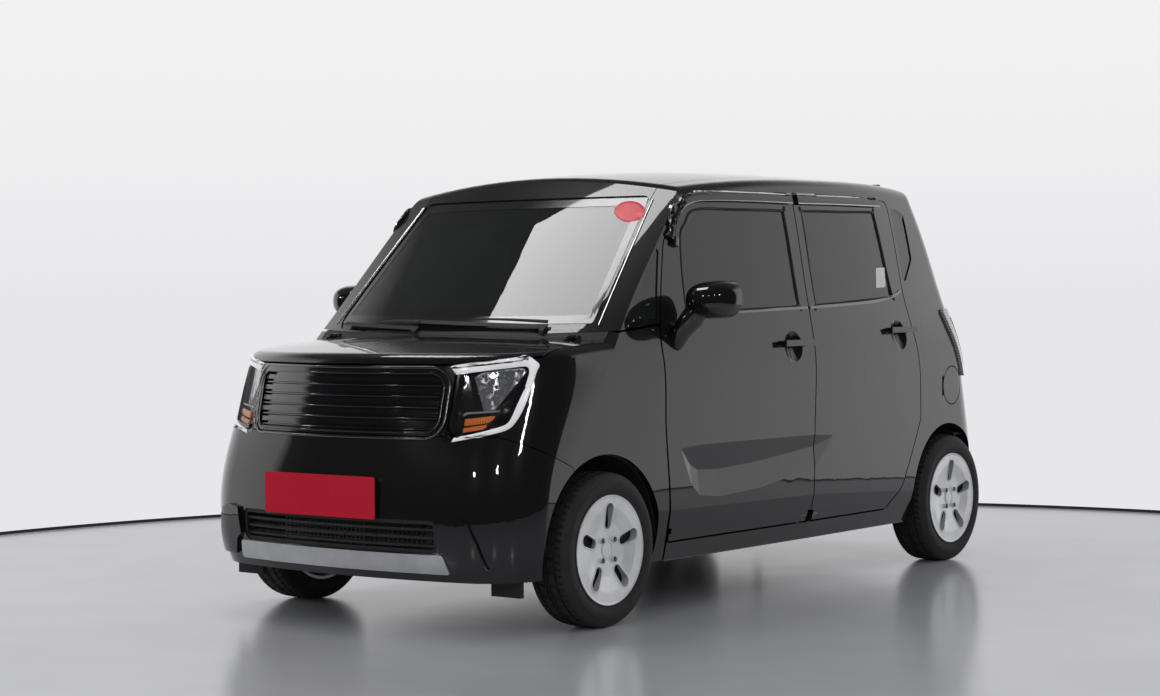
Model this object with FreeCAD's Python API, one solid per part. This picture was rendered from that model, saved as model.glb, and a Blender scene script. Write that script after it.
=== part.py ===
import FreeCAD, Part
import math
import os
from collections import namedtuple
from FreeCAD import Vector, Placement, Rotation

# Driving sizes in millimetres: front faces -Y, left side is +X, the ground is z = 0
LENGTH = 3595.0
WIDTH = 1595.0
HEIGHT = 1700.0
WHEELBASE = 2520.0
FRONT_OVERHANG = 630.0
FRONT_AXLE_Y = FRONT_OVERHANG - LENGTH / 2
REAR_AXLE_Y = FRONT_AXLE_Y + WHEELBASE
TRACK = 1404.0
TYRE_RADIUS = 278.0
TYRE_WIDTH = 175.0
WHEEL_X = TRACK / 2
SHUT_GAP = 6.5
SEAT_GAP = 0.3

# Wall thicknesses
SKIN = 10.0
PANEL = 28.0
WALL = 60.0
POST_NEAR = 67.0
POST_FAR = 112.0
GLASS_NEAR = 5.0
RECESS = 18.0

NODES = {}


def box(x0, x1, y0, y1, z0, z1):
    return Part.makeBox(x1 - x0, y1 - y0, z1 - z0, Vector(x0, y0, z0))


def cyl_x(radius, x0, x1, y, z):
    return Part.makeCylinder(radius, x1 - x0, Vector(x0, y, z), Vector(1, 0, 0))


def rod(start, end, radius):
    a = Vector(*start)
    b = Vector(*end)
    return Part.makeCylinder(radius, (b - a).Length, a, b - a)


def mirrored(shape):
    return shape.mirror(Vector(0, 0, 0), Vector(1, 0, 0))


def both(shape):
    return Part.makeCompound([shape, mirrored(shape)])


def fused(shapes):
    whole = shapes[0]
    if len(shapes) > 1:
        whole = shapes[0].fuse(shapes[1:])
    return whole.removeSplitter()


# A closed outline in one plane: corners are (u, v) or (u, v, radius)
def outline(corners, plane, level):
    place = {
        "yz": lambda u, v: Vector(level, u, v),
        "xz": lambda u, v: Vector(u, level, v),
        "xy": lambda u, v: Vector(u, v, level),
    }[plane]
    count = len(corners)
    pts = [place(c[0], c[1]) for c in corners]
    radii = [c[2] if len(c) > 2 else 0.0 for c in corners]
    edges = []
    starts = []
    ends = []
    for i in range(count):
        here = pts[i]
        a = (pts[i - 1] - here).normalize()
        b = (pts[(i + 1) % count] - here).normalize()
        if radii[i] > 0:
            half = math.acos(max(-1.0, min(1.0, a.dot(b)))) / 2
            reach = radii[i] / math.tan(half)
            middle = here + (a + b).normalize() * (radii[i] / math.sin(half) - radii[i])
            starts.append(here + a * reach)
            ends.append(here + b * reach)
            edges.append(Part.Arc(starts[i], middle, ends[i]).toShape())
        else:
            starts.append(here)
            ends.append(here)
    for i in range(count):
        following = (i + 1) % count
        if (starts[following] - ends[i]).Length > 1e-6:
            edges.append(Part.makeLine(ends[i], starts[following]))
    return Part.Wire(Part.__sortEdges__(edges))


def prism(corners, plane, low, high, grow=0.0):
    face = Part.Face(outline(corners, plane, low))
    if grow:
        face = face.makeOffset2D(grow)
    away = {"yz": Vector(1, 0, 0), "xz": Vector(0, 1, 0), "xy": Vector(0, 0, 1)}[plane]
    return face.extrude(away * (high - low))


# Outer skin: plan outlines at a few heights, each of arcs that meet smoothly.
# nose_in, side_in and tail_in are how far each face stands in from the car's overall length and width
Level = namedtuple("Level", "height nose_in nose_r front_corner side_in side_r tail_in tail_r rear_corner")
LEVELS = [
    Level(196, 52.5, 2600, 230, 43.5, 40000, 44.5, 2600, 230),
    Level(300, 18.5, 2600, 250, 20.5, 40000, 13.5, 2600, 240),
    Level(500, 10.5, 2400, 260, 9.5, 40000, 4.5, 2600, 240),
    Level(720, 41.5, 1700, 300, 4.5, 30000, 55.5, 2500, 220),
    Level(940, 59.5, 1150, 330, 2.5, 22000, 125.5, 2400, 180),
    Level(1130, 97.5, 1100, 330, 33.5, 14000, 167.5, 2300, 170),
    Level(1360, 147.5, 1100, 300, 73.5, 12000, 252.5, 2200, 150),
    Level(1600, 197.5, 1100, 300, 117.5, 10000, 357.5, 2100, 140),
    Level(1740, 237.5, 1100, 300, 142.5, 10000, 417.5, 2100, 140),
]
SIDE_ARC_Y = 100.0

# Crown of the bonnet and of the roof: centre height, and height at the stated half width
Crown = namedtuple("Crown", "y centre edge")
BONNET = [
    Crown(-1900, 958, 925),
    Crown(-1700, 985, 950),
    Crown(-1450, 1016, 985),
    Crown(-1150, 1044, 1014),
    Crown(-850, 1064, 1034),
]
BONNET_HALF = 700.0
ROOF = [
    Crown(-1950, HEIGHT - 320, HEIGHT - 390),
    Crown(-1150, HEIGHT - 140, HEIGHT - 200),
    Crown(-650, HEIGHT - 64, HEIGHT - 118),
    Crown(-200, HEIGHT - 20, HEIGHT - 70),
    Crown(300, HEIGHT - 1, HEIGHT - 48),
    Crown(700, HEIGHT - 0, HEIGHT - 45),
    Crown(1150, HEIGHT - 20, HEIGHT - 58),
    Crown(1500, HEIGHT - 58, HEIGHT - 96),
    Crown(1900, HEIGHT - 120, HEIGHT - 160),
]
ROOF_HALF = 620.0

# Windscreen surface: plan arcs at two heights
Screen = namedtuple("Screen", "height centre_y radius")
SCREEN = [Screen(900, -1347, 1760), Screen(1760, -447, 3100)]
SCREEN_SLANT = 1.42
WAIST = 905.0


def inner_centre(first, first_r, second, second_r, corner_r, ahead):
    near = first_r - corner_r
    far = second_r - corner_r
    line = second - first
    span = line.Length
    along = (near * near - far * far + span * span) / (2 * span)
    rise = math.sqrt(near * near - along * along)
    unit = Vector(line).normalize()
    side = Vector(-unit.y, unit.x, 0)
    choices = [first + unit * along + side * rise, first + unit * along - side * rise]
    return max(choices, key=lambda point: point.y * ahead)


def touch(centre, radius, toward):
    return centre + (toward - centre).normalize() * radius


def arc(centre, radius, start, end):
    middle = (start - centre).normalize() + (end - centre).normalize()
    return Part.Arc(start, centre + middle.normalize() * radius, end).toShape()


def flip(point):
    return Vector(-point.x, point.y, point.z)


def plan_wire(level, inset):
    nose_r = level.nose_r - inset
    front_r = level.front_corner - inset
    side_r = level.side_r - inset
    tail_r = level.tail_r - inset
    rear_r = level.rear_corner - inset
    nose_c = Vector(0, level.nose_in - LENGTH / 2 + level.nose_r, 0)
    side_c = Vector(WIDTH / 2 - level.side_in - level.side_r, SIDE_ARC_Y, 0)
    tail_c = Vector(0, LENGTH / 2 - level.tail_in - level.tail_r, 0)
    front_c = inner_centre(nose_c, nose_r, side_c, side_r, front_r, -1)
    rear_c = inner_centre(tail_c, tail_r, side_c, side_r, rear_r, 1)
    a = touch(nose_c, nose_r, front_c)
    b = touch(side_c, side_r, front_c)
    c = touch(side_c, side_r, rear_c)
    d = touch(tail_c, tail_r, rear_c)
    edges = [
        arc(nose_c, nose_r, flip(a), a),
        arc(front_c, front_r, a, b),
        arc(side_c, side_r, b, c),
        arc(rear_c, rear_r, c, d),
        arc(tail_c, tail_r, d, flip(d)),
        arc(flip(rear_c), rear_r, flip(d), flip(c)),
        arc(flip(side_c), side_r, flip(c), flip(b)),
        arc(flip(front_c), front_r, flip(b), flip(a)),
    ]
    wire = Part.Wire(edges)
    wire.translate(Vector(0, 0, level.height))
    return wire


def under_crown(table, half, inset):
    reach = 1000.0
    wires = []
    for row in table:
        drop = row.centre - row.edge
        radius = (half * half + drop * drop) / (2 * drop)
        side = row.centre - radius + math.sqrt(radius * radius - reach * reach)
        left = Vector(reach, row.y, side - inset)
        right = Vector(-reach, row.y, side - inset)
        top = Part.Arc(right, Vector(0, row.y, row.centre - inset), left).toShape()
        low_left = Vector(reach, row.y, 0)
        low_right = Vector(-reach, row.y, 0)
        around = [left, low_left, low_right, right]
        sides = [Part.makeLine(around[i], around[i + 1]) for i in range(3)]
        wires.append(Part.Wire([top] + sides))
    return Part.makeLoft(wires, True, False)


def behind_screen(inset):
    reach = 1000.0
    wires = []
    for row in SCREEN:
        back = 2200.0
        push = inset * SCREEN_SLANT
        side_y = row.centre_y + row.radius - math.sqrt(row.radius ** 2 - reach ** 2) + push
        left = Vector(reach, side_y, row.height)
        right = Vector(-reach, side_y, row.height)
        front = Part.Arc(right, Vector(0, row.centre_y + push, row.height), left).toShape()
        back_left = Vector(reach, back, row.height)
        back_right = Vector(-reach, back, row.height)
        around = [left, back_left, back_right, right]
        sides = [Part.makeLine(around[i], around[i + 1]) for i in range(3)]
        wires.append(Part.Wire([front] + sides))
    return Part.makeLoft(wires, True, True)


# Edge rounding of the outer skin: radius and the box that holds each edge's middle point
Rounding = namedtuple("Rounding", "radius low high y_low y_high")
ROUNDINGS = [
    Rounding(58.0, 1560, 1720, -2000, 2000),
    Rounding(48.0, 915, 1065, -1900, -1300),
]
LEAST_ROUNDING = 8.0
SKINS = {}


def middle_of(edge):
    return edge.valueAt((edge.FirstParameter + edge.LastParameter) / 2)


def outer(inset):
    if inset not in SKINS:
        around = Part.makeLoft([plan_wire(level, inset) for level in LEVELS], True, False)
        lower = box(-1000, 1000, -2000, 2000, 0, WAIST)
        top = under_crown(BONNET, BONNET_HALF, inset).fuse([behind_screen(inset), lower])
        solid = around.common(under_crown(ROOF, ROOF_HALF, inset)).common(top)
        for step in ROUNDINGS:
            radius = step.radius - inset
            if radius > LEAST_ROUNDING:
                chosen = []
                for edge in solid.Edges:
                    spot = middle_of(edge)
                    if step.low < spot.z < step.high and step.y_low < spot.y < step.y_high:
                        chosen.append(edge)
                solid = solid.makeFillet(radius, chosen)
        SKINS[inset] = solid.Solids[0] if solid.Solids else solid
    return SKINS[inset]


WALLS = {}


def shell(near, far):
    if (near, far) not in WALLS:
        WALLS[(near, far)] = outer(near).cut(outer(far))
    return WALLS[(near, far)]


# Side-view outlines, y and z with corner radii
SPLIT_Y = 205.0
FRONT_DOOR = [
    (-772, 267, 18), (-789, 488, 300), (-812, 715, 400), (-818, 1004, 200), (-792, 1100, 60),
    (-702, 1385, 80), (-540, 1560, 90), (-330, 1583, 300), (SPLIT_Y, 1588), (SPLIT_Y, 267, 12),
]
REAR_DOOR = [
    (SPLIT_Y, 267, 12), (SPLIT_Y, 1588), (700, 1592, 2000), (1032, 1580, 35), (1040, 1300, 2000),
    (1042, 1150, 300), (1088, 844, 900), (1098, 640, 90), (930, 352, 90), (815, 267, 60),
]
FRONT_WINDOW = [(-632, 1112, 22), (-602, 1385, 70), (-470, 1513, 70), (122, 1518, 18), (134, 1132, 18)]
REAR_WINDOW = [(262, 1136, 18), (262, 1518, 18), (884, 1530, 22), (934, 1166, 26)]
REAR_QUARTER_GLASS = [(1066, 1210, 20), (1062, 1548, 16), (1186, 1548, 22), (1192, 1330, 40)]
FRONT_QUARTER_GLASS = [(-1000, 1082, 18), (-727, 1383, 10), (-812, 1096, 12)]
SCREEN_OUTLINE = [(-640, 1058, 60), (-566, 1562, 45), (566, 1562, 45), (640, 1058, 60), (0, 1052, 2200)]
GATE_HALF_TOP = 545.0
GATE_HALF = 612.0
GATE_LOW = 545.0
GATE_TOP_Y = 1352.0
GATE = [(-GATE_HALF, GATE_LOW, 70), (-GATE_HALF, 1180, 400), (-GATE_HALF_TOP, 1720), (GATE_HALF_TOP, 1720),
        (GATE_HALF, 1180, 400), (GATE_HALF, GATE_LOW, 70)]
GATE_WINDOW = [(-530, 1140, 60), (-490, 1556, 60), (490, 1556, 60), (530, 1140, 60)]
ARCH_RADIUS = 328.0
ARCH_Z = 290.0
ARCH_FLANK = 305.0
REAR_ARCH_RADIUS = 318.0
REAR_ARCH_FLANK = 300.0
ARCH_INNER = 440.0
REAR_ARCH_INNER = 585.0
GRILLE_HALF = 462.0
GRILLE = [(-GRILLE_HALF, 694, 75), (-GRILLE_HALF, 934, 62), (GRILLE_HALF, 934, 62), (GRILLE_HALF, 694, 75)]
LAMP = [(476, 700, 45), (476, 942, 45), (702, 968), (900, 990), (900, 690)]
LAMP_SIDE = [(-1900, 600), (-1900, 1010), (-1385, 985, 25), (-1470, 925, 60), (-1632, 712, 40), (-1700, 690)]
INTAKE = [(-468, 296, 30), (-468, 412, 24), (468, 412, 24), (468, 296, 30)]
HOOD_HALF = 700.0
HOOD_FRONT = [(-HOOD_HALF, 1200), (-HOOD_HALF, 975), (-474, 949, 300), (474, 949, 300), (HOOD_HALF, 975),
              (HOOD_HALF, 1200)]
HOOD = [(-HOOD_HALF, -1950), (-HOOD_HALF, -1118, 40), (-560, -1150, 500), (0, -1236, 1500), (560, -1150, 500),
        (HOOD_HALF, -1118, 40), (HOOD_HALF, -1950)]
ROOF_PANEL_HALF = 565.0
ROOF_PANEL_BACK = 1346.0


def arch(y, radius, flank, inner, grow=0.0):
    well = cyl_x(radius + grow, inner - grow, 900, y, ARCH_Z)
    return well.fuse(box(inner - grow, 900, y - flank - grow, y + flank + grow, 0, ARCH_Z))


FRONT_WELL = arch(FRONT_AXLE_Y, ARCH_RADIUS, ARCH_FLANK, ARCH_INNER)
REAR_WELL = arch(REAR_AXLE_Y, REAR_ARCH_RADIUS, REAR_ARCH_FLANK, REAR_ARCH_INNER)
BOTH_WELLS = [FRONT_WELL, mirrored(FRONT_WELL), REAR_WELL, mirrored(REAR_WELL)]
SIDE_IN = 640.0
SIDE_OUT = 1000.0


def side_prism(corners, grow=0.0):
    return prism(corners, "yz", SIDE_IN, SIDE_OUT, grow)


def front_prism(corners, low, high, grow=0.0):
    return prism(corners, "xz", low, high, grow)


FULL_WALL = shell(0.0, WALL)
THIN_WALL = shell(0.0, PANEL)
SKIN_WALL = shell(0.0, SKIN)
INNER_WALL = shell(SKIN, WALL)
PANE_WALL = shell(GLASS_NEAR, SKIN)

# Doors: an outer skin and a smaller inner case, with the window cut through both
CASE_INSET = -22.0
Handle = namedtuple("Handle", "bar_front bar_back recess_y z")
FRONT_HANDLE = Handle(-57, 178, 46, 990)
REAR_HANDLE = Handle(815, 1040, 925, 1028)
RECESS_RADIUS = 64.0
RECESS_DEPTH = 16.0
BAR_HEIGHT = 24.0
BAR_OUT = 34.0
BAR_THICK = 14.0


def skin_x(y, z, inset=0.0):
    line = Part.makeLine(Vector(0, y, z), Vector(1000, y, z))
    return max(v.X for v in outer(inset).common(line).Vertexes)


def handle_bar(handle):
    near = skin_x((handle.bar_front + handle.bar_back) / 2, handle.z)
    out = near + BAR_OUT
    low = handle.z - BAR_HEIGHT / 2
    high = low + BAR_HEIGHT
    bar = box(out - BAR_THICK, out, handle.bar_front, handle.bar_back, low, high)
    upright = [edge for edge in bar.Edges if abs(edge.tangentAt(edge.FirstParameter).y) < 0.5]
    bar = bar.makeFillet(5.0, upright)
    feet = []
    for y in (handle.bar_front + 14, handle.bar_back - 14):
        feet.append(box(near - SKIN / 2, out - BAR_THICK / 2, y - 11, y + 11, low + 3, high - 3))
    return bar.fuse(feet)


def handle_recess(handle):
    near = skin_x(handle.recess_y, handle.z)
    ball = (RECESS_RADIUS ** 2 + RECESS_DEPTH ** 2) / (2 * RECESS_DEPTH)
    return Part.makeSphere(ball, Vector(near + ball - RECESS_DEPTH, handle.recess_y, handle.z))


def door(corners, window, handle, extra_cuts=()):
    panel = SKIN_WALL.common(side_prism(corners, -SHUT_GAP / 2))
    case = INNER_WALL.common(side_prism(corners, CASE_INSET))
    whole = panel.fuse(case).cut(side_prism(window))
    whole = whole.cut(list(extra_cuts) + [handle_recess(handle)])
    return whole.fuse(handle_bar(handle)).removeSplitter()


def pane(window):
    return PANE_WALL.common(side_prism(window, -SEAT_GAP))


def side_tool(sections):
    wires = []
    for y, points in sections:
        wires.append(Part.makePolygon([Vector(x, y, z) for x, z in points + points[:1]]))
    return Part.makeLoft(wires, True, True)


# Pressed hollow of the lower doors: an upper facet that leans in and a lower one that comes back out
Hollow = namedtuple("Hollow", "y top middle low depth")
HOLLOW = [
    Hollow(-712, 613, 606, 598, 0.6),
    Hollow(-652, 618, 550, 474, 9.0),
    Hollow(-600, 621, 527, 432, 13.0),
    Hollow(-467, 621, 521, 418, 14.0),
    Hollow(-184, 620, 535, 432, 12.0),
    Hollow(SPLIT_Y, 617, 571, 486, 7.0),
    Hollow(338, 608, 601, 593, 0.6),
]
hollow_sections = []
for row in HOLLOW:
    top_x = skin_x(row.y, row.top)
    middle_x = skin_x(row.y, row.middle) - row.depth
    low_x = skin_x(row.y, row.low)
    hollow_sections.append((row.y, [(SIDE_OUT, row.top), (top_x, row.top), (middle_x, row.middle),
                                    (low_x, row.low), (SIDE_OUT, row.low)]))
door_hollow = side_tool(hollow_sections)

# Tuck of the lower flank: below this line the side leans in towards the sill
Tuck = namedtuple("Tuck", "y line depth")
TUCK = [
    Tuck(-1000, 392, 12.0),
    Tuck(-757, 388, 13.0),
    Tuck(222, 376, 14.0),
    Tuck(904, 340, 12.0),
    Tuck(1120, 322, 12.0),
]
TUCK_FOOT = 200.0
tuck_sections = []
for row in TUCK:
    line_x = skin_x(row.y, row.line)
    foot_x = skin_x(row.y, TUCK_FOOT) - row.depth
    tuck_sections.append((row.y, [(SIDE_OUT, row.line), (line_x, row.line), (foot_x, TUCK_FOOT),
                                  (foot_x, TUCK_FOOT - 50), (SIDE_OUT, TUCK_FOOT - 50)]))
flank_tuck = side_tool(tuck_sections)

# Front side glass runs past the window's front post, so the door is one plain cut
front_door = door(FRONT_DOOR, FRONT_WINDOW, FRONT_HANDLE, [door_hollow, flank_tuck])
rear_door = door(REAR_DOOR, REAR_WINDOW, REAR_HANDLE, [REAR_WELL, door_hollow, flank_tuck])
front_pane = pane(FRONT_WINDOW)
rear_pane = pane(REAR_WINDOW)

NODES["front_door_left"] = front_door
NODES["front_door_right"] = mirrored(front_door)
NODES["rear_door_left"] = rear_door
NODES["sliding_door_right"] = mirrored(rear_door)
NODES["front_door_glass_left"] = front_pane
NODES["front_door_glass_right"] = mirrored(front_pane)
NODES["rear_door_glass_left"] = rear_pane
NODES["sliding_door_glass"] = mirrored(rear_pane)
quarter_panes = [pane(FRONT_QUARTER_GLASS), pane(REAR_QUARTER_GLASS)]
NODES["fixed_side_glass"] = Part.makeCompound(quarter_panes + [mirrored(shape) for shape in quarter_panes])

# Regions that split the shell where the real panels meet
FRONT_BUMPER = [(-2000, 100), (-2000, 697), (-1620, 697), (-1352, 582), (-1250, 400), (-1250, 100)]
TAIL_LAMP_PROUD = 14.0
REAR_BUMPER = [(1642, 100), (1632, 520, 60), (1592, 745), (2100, 765), (2100, 100)]
BODY_SIDE = [(-1140, 1046), (-800, 1080), (-800, 1000), (-700, 600), (-770, 300), (-770, 100),
             (2100, 100), (2100, 1800), (-1140, 1800)]
FENDER = [(-1640, 585), (-1640, 1060), (-1130, 1060), (-1120, 1041), (-812, 1071), (-823, 1004, 200),
          (-817, 715, 400), (-796, 488, 300), (-779, 200), (-1000, 200), (-1300, 560)]
TAIL_LAMP = [(1384, 1114, 16), (1800, 1128), (1800, 812), (1504, 812, 14)]
TAIL_LAMP_IN = 632.0

gate_region = prism(GATE, "xz", GATE_TOP_Y, 2000)
gate_hole = prism(GATE, "xz", GATE_TOP_Y - SHUT_GAP, 2000, SHUT_GAP)
screen_hole = front_prism(SCREEN_OUTLINE, -1500, 200)
hood_region = prism(HOOD, "xy", 900, 1200).common(front_prism(HOOD_FRONT, -1950, -1000))
hood_hole = prism(HOOD, "xy", 880, 1200, SHUT_GAP).common(front_prism(HOOD_FRONT, -1950, -1000, SHUT_GAP))
door_holes = [side_prism(FRONT_DOOR, SHUT_GAP / 2), side_prism(REAR_DOOR, SHUT_GAP / 2)]
window_holes = [side_prism(FRONT_QUARTER_GLASS), side_prism(REAR_QUARTER_GLASS)]
lamp_hole = front_prism(LAMP, -1950, -1300).common(prism(LAMP_SIDE, "yz", 300, 1000))
tail_lamp_hole = prism(TAIL_LAMP, "yz", TAIL_LAMP_IN, 1000)
side_holes = door_holes + window_holes + [REAR_WELL, tail_lamp_hole, flank_tuck]
roof_region = box(-ROOF_PANEL_HALF, ROOF_PANEL_HALF, -800, ROOF_PANEL_BACK, 1480, 1750)
roof_hole = box(-ROOF_PANEL_HALF - 3, ROOF_PANEL_HALF + 3, -800, ROOF_PANEL_BACK + 3, 1480, 1750)

# Body sides: pillars, roof rails, quarter panels and sills, with the inner door posts
FLAP = (1395.0, 774.0)
FLAP_RADIUS = 82.0
POCKET_DEPTH = 40.0
sides = FULL_WALL.common(prism(BODY_SIDE, "yz", -1000, 1000))
sides = sides.cut(side_holes + [mirrored(hole) for hole in side_holes])
rear_bumper_region = prism(REAR_BUMPER, "yz", -1000, 1000)
flap_x = skin_x(*FLAP)
pocket = cyl_x(FLAP_RADIUS + 5.0, flap_x - POCKET_DEPTH, 1000, *FLAP)
sides = sides.cut([screen_hole, roof_hole, gate_hole, prism(REAR_BUMPER, "yz", -1000, 1000, 3.0), pocket])
flap_skin = shell(0.0, GLASS_NEAR).common(cyl_x(FLAP_RADIUS, 600, 1000, *FLAP))
FLAP_AXIS = (flap_x - 3.5, FLAP[0] - FLAP_RADIUS - 1.5)
FLAP_PIN = 1.8
FLAP_TUBE = 3.8
FLAP_ROOM = 9.5
FLAP_SWEEP = 26.0
FLAP_NOTCH = 44.0
TUBE_REACH = 9.0


def flap_pin(radius, half_length):
    foot = Vector(FLAP_AXIS[0], FLAP_AXIS[1], FLAP[1] - half_length)
    return Part.makeCylinder(radius, 2 * half_length, foot)


def flap_box(x_in, x_out, y_back, y_ahead, half_length):
    return box(FLAP_AXIS[0] + x_in, FLAP_AXIS[0] + x_out, FLAP_AXIS[1] + y_back, FLAP_AXIS[1] + y_ahead,
               FLAP[1] - half_length, FLAP[1] + half_length)


flap_tube = flap_pin(FLAP_TUBE, TUBE_REACH).fuse(flap_box(-2, 2.5, 0, 8, TUBE_REACH))
NODES["fuel_flap"] = flap_skin.fuse(flap_tube).cut(flap_pin(FLAP_PIN + SEAT_GAP, TUBE_REACH + 3))

flap_notch = flap_box(FLAP_PIN + 0.1, 200, -13, 3, FLAP_NOTCH)
sides = sides.cut([flap_pin(FLAP_ROOM, FLAP_SWEEP), flap_notch]).fuse(flap_pin(FLAP_PIN, FLAP_SWEEP + 7))
post = shell(POST_NEAR, POST_FAR).common(box(400, 1000, 150, 262, 200, 1640))
foot_room = box(400, 1000, 150, 262, 150, 258).fuse(box(400, 1000, 150, 262, 1597, 1640))
post = post.fuse(shell(PANEL, POST_FAR).common(foot_room))
sides = sides.fuse([post, mirrored(post)])
SLIVER = 1.0e6
NODES["body_sides"] = Part.makeCompound([piece for piece in sides.Solids if piece.Volume > SLIVER])

roof = THIN_WALL.common(roof_region).cut([front_prism(SCREEN_OUTLINE, -1500, 200, SEAT_GAP), gate_hole])
NODES["roof_panel"] = roof
NODES["windshield"] = PANE_WALL.common(front_prism(SCREEN_OUTLINE, -1500, 200, -SEAT_GAP))

# Bonnet, cowl and front wings
NODES["hood"] = THIN_WALL.common(hood_region)
cowl = THIN_WALL.common(box(-900, 900, -1300, -1000, 900, 1100))
screen_room = front_prism(SCREEN_OUTLINE, -1500, 200, SEAT_GAP)
cowl = cowl.cut([hood_hole, screen_room, prism(BODY_SIDE, "yz", -1000, 1000, 2.0)])
cowl = cowl.common(box(-700, 700, -1300, -1000, 900, 1100))
NODES["cowl"] = cowl
fender = THIN_WALL.common(prism(FENDER, "yz", 477, 1000)).cut([
    FRONT_WELL, hood_hole, lamp_hole, prism(FRONT_BUMPER, "yz", 300, 1000, 3.0), flank_tuck,
    box(300, 703, -1300, 0, 900, 1200)])
NODES["front_fenders"] = both(fender)

# Nose: bumper skin, grille panel, lamps, lower intake and skid bar
Bar = namedtuple("Bar", "z height")
GRILLE_BARS = [Bar(734, 16), Bar(772, 16), Bar(810, 16), Bar(848, 16), Bar(886, 16)]
GRILLE_RIM = -22.0
bumper_region = prism(FRONT_BUMPER, "yz", -1000, 1000)
SKID_PROUD = 7.0
SKID = [(-506, 224, 10), (-490, 292, 14), (490, 292, 14), (506, 224, 10)]
skid_bar = shell(-SKID_PROUD, SKIN).common(front_prism(SKID, -1950, -1600))
bumper = THIN_WALL.common(bumper_region).common(box(-1000, 1000, -2000, -1200, 195, 720))
bumper = bumper.cut([FRONT_WELL, mirrored(FRONT_WELL), front_prism(INTAKE, -1950, -1500),
                     front_prism(SKID, -1950, -1600, SEAT_GAP)])
NODES["skid_bar"] = skid_bar

# Upright fins at the ends of the intake, proud of the bumper, and the plinth that carries the plate
FIN = [(479, 318), (491, 413, 10), (552, 424, 10), (594, 411, 14), (622, 338, 60), (643, 238, 8),
       (530, 238, 6), (506, 300, 10)]
fin = shell(-TAIL_LAMP_PROUD, RECESS).common(front_prism(FIN, -1950, -1500))
PLATE_THICK = 2.5
PLATE_FRONT_Y = -LENGTH / 2
PLATE_X = -36.0
plinth_y = PLATE_FRONT_Y + PLATE_THICK + SEAT_GAP
plinth = box(PLATE_X - 200, PLATE_X + 200, plinth_y, -1750, 430, 535).cut(outer(0.0))
NODES["front_bumper"] = bumper.fuse([fin, mirrored(fin), plinth])
SURROUND = [(-472, 701), (-472, 942), (472, 942), (472, 701)]
panel = THIN_WALL.common(front_prism(SURROUND, -1950, -1400))
field = shell(-TAIL_LAMP_PROUD, RECESS).common(front_prism(GRILLE, -1950, -1400, GRILLE_RIM))
panel = panel.cut(field)


def bars_in(wall, rows):
    return wall.common([box(-600, 600, -1950, -1300, row.z, row.z + row.height) for row in rows])


grille_wall = shell(GLASS_NEAR, PANEL).common(front_prism(GRILLE, -1950, -1400, GRILLE_RIM + 1))
NODES["grille_panel"] = panel.fuse(bars_in(grille_wall, GRILLE_BARS))
INTAKE_BARS = [Bar(318, 9), Bar(346, 9), Bar(374, 9)]
intake_ring = shell(GLASS_NEAR, PANEL).common(front_prism(INTAKE, -1950, -1500, -SEAT_GAP)).cut(
    front_prism(INTAKE, -1950, -1500, -14.0))
intake_wall = shell(SKIN, PANEL).common(front_prism(INTAKE, -1950, -1500, -10.0))
NODES["lower_grille"] = intake_ring.fuse(bars_in(intake_wall, INTAKE_BARS))

LAMP_WALL = -7.0


def lamp_prism(grow):
    return front_prism(LAMP, -1950, -1300, grow).common(prism(LAMP_SIDE, "yz", 300, 1000, grow))


lens = shell(0.0, GLASS_NEAR).common(lamp_prism(-2.0))
housing = shell(GLASS_NEAR, POST_NEAR).common(lamp_prism(-2.0))
housing = housing.cut(FULL_WALL.common(lamp_prism(-2.0 + LAMP_WALL)))
NODES["headlamp_lenses"] = both(lens)
NODES["headlamp_housings"] = both(housing)

# Tail: bumper, lamps and the gate with its glass
rear_bumper = THIN_WALL.common(rear_bumper_region).common(box(-1000, 1000, 1200, 2000, 230, 800))
NODES["rear_bumper"] = rear_bumper.cut([gate_hole, REAR_WELL, mirrored(REAR_WELL)])
tail_lamp_region = prism(TAIL_LAMP, "yz", TAIL_LAMP_IN + SEAT_GAP, 1000, -SEAT_GAP)
tail_lamp = shell(-TAIL_LAMP_PROUD, PANEL).common(tail_lamp_region)
NODES["tail_lamps"] = both(tail_lamp)
gate_case = prism(GATE, "xz", GATE_TOP_Y + 14, 2000, -16.0)
gate = SKIN_WALL.common(gate_region).fuse(INNER_WALL.common(gate_case))
gate = gate.cut(prism(GATE_WINDOW, "xz", 1200, 2000)).removeSplitter()
NODES["tailgate"] = gate
NODES["tailgate_glass"] = PANE_WALL.common(prism(GATE_WINDOW, "xz", 1200, 2000, -SEAT_GAP))


# Plain pin hinges: a pin between two cheeks, and a tube around it on the moving panel
Hinge = namedtuple("Hinge", "x y z fixed_reach arm_reach drop")
HOOD_HINGE = Hinge(590, -1121, 1030, 16, -40, 12)
GATE_HINGE = Hinge(400, 1349, 1662, -24, 30, 34)
HINGE_PIN = 5.0
HINGE_TUBE = 11.0
TUBE_HALF = 12.0
CHEEK_GAP = 6.0
PIN_HALF = 26.0
NOTCH = 5.5


def block_to(hinge, x0, x1, reach, top):
    y0, y1 = sorted([hinge.y, hinge.y + reach])
    return box(x0, x1, y0, y1, hinge.z - hinge.drop, top)


def hinge_fixed(hinge):
    parts = [cyl_x(HINGE_PIN, hinge.x - PIN_HALF, hinge.x + PIN_HALF, hinge.y, hinge.z)]
    inner = TUBE_HALF + CHEEK_GAP
    for x0, x1 in ((hinge.x - PIN_HALF, hinge.x - inner), (hinge.x + inner, hinge.x + PIN_HALF)):
        parts.append(cyl_x(HINGE_TUBE, x0, x1, hinge.y, hinge.z))
        parts.append(block_to(hinge, x0, x1, hinge.fixed_reach, hinge.z))
    return parts


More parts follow.
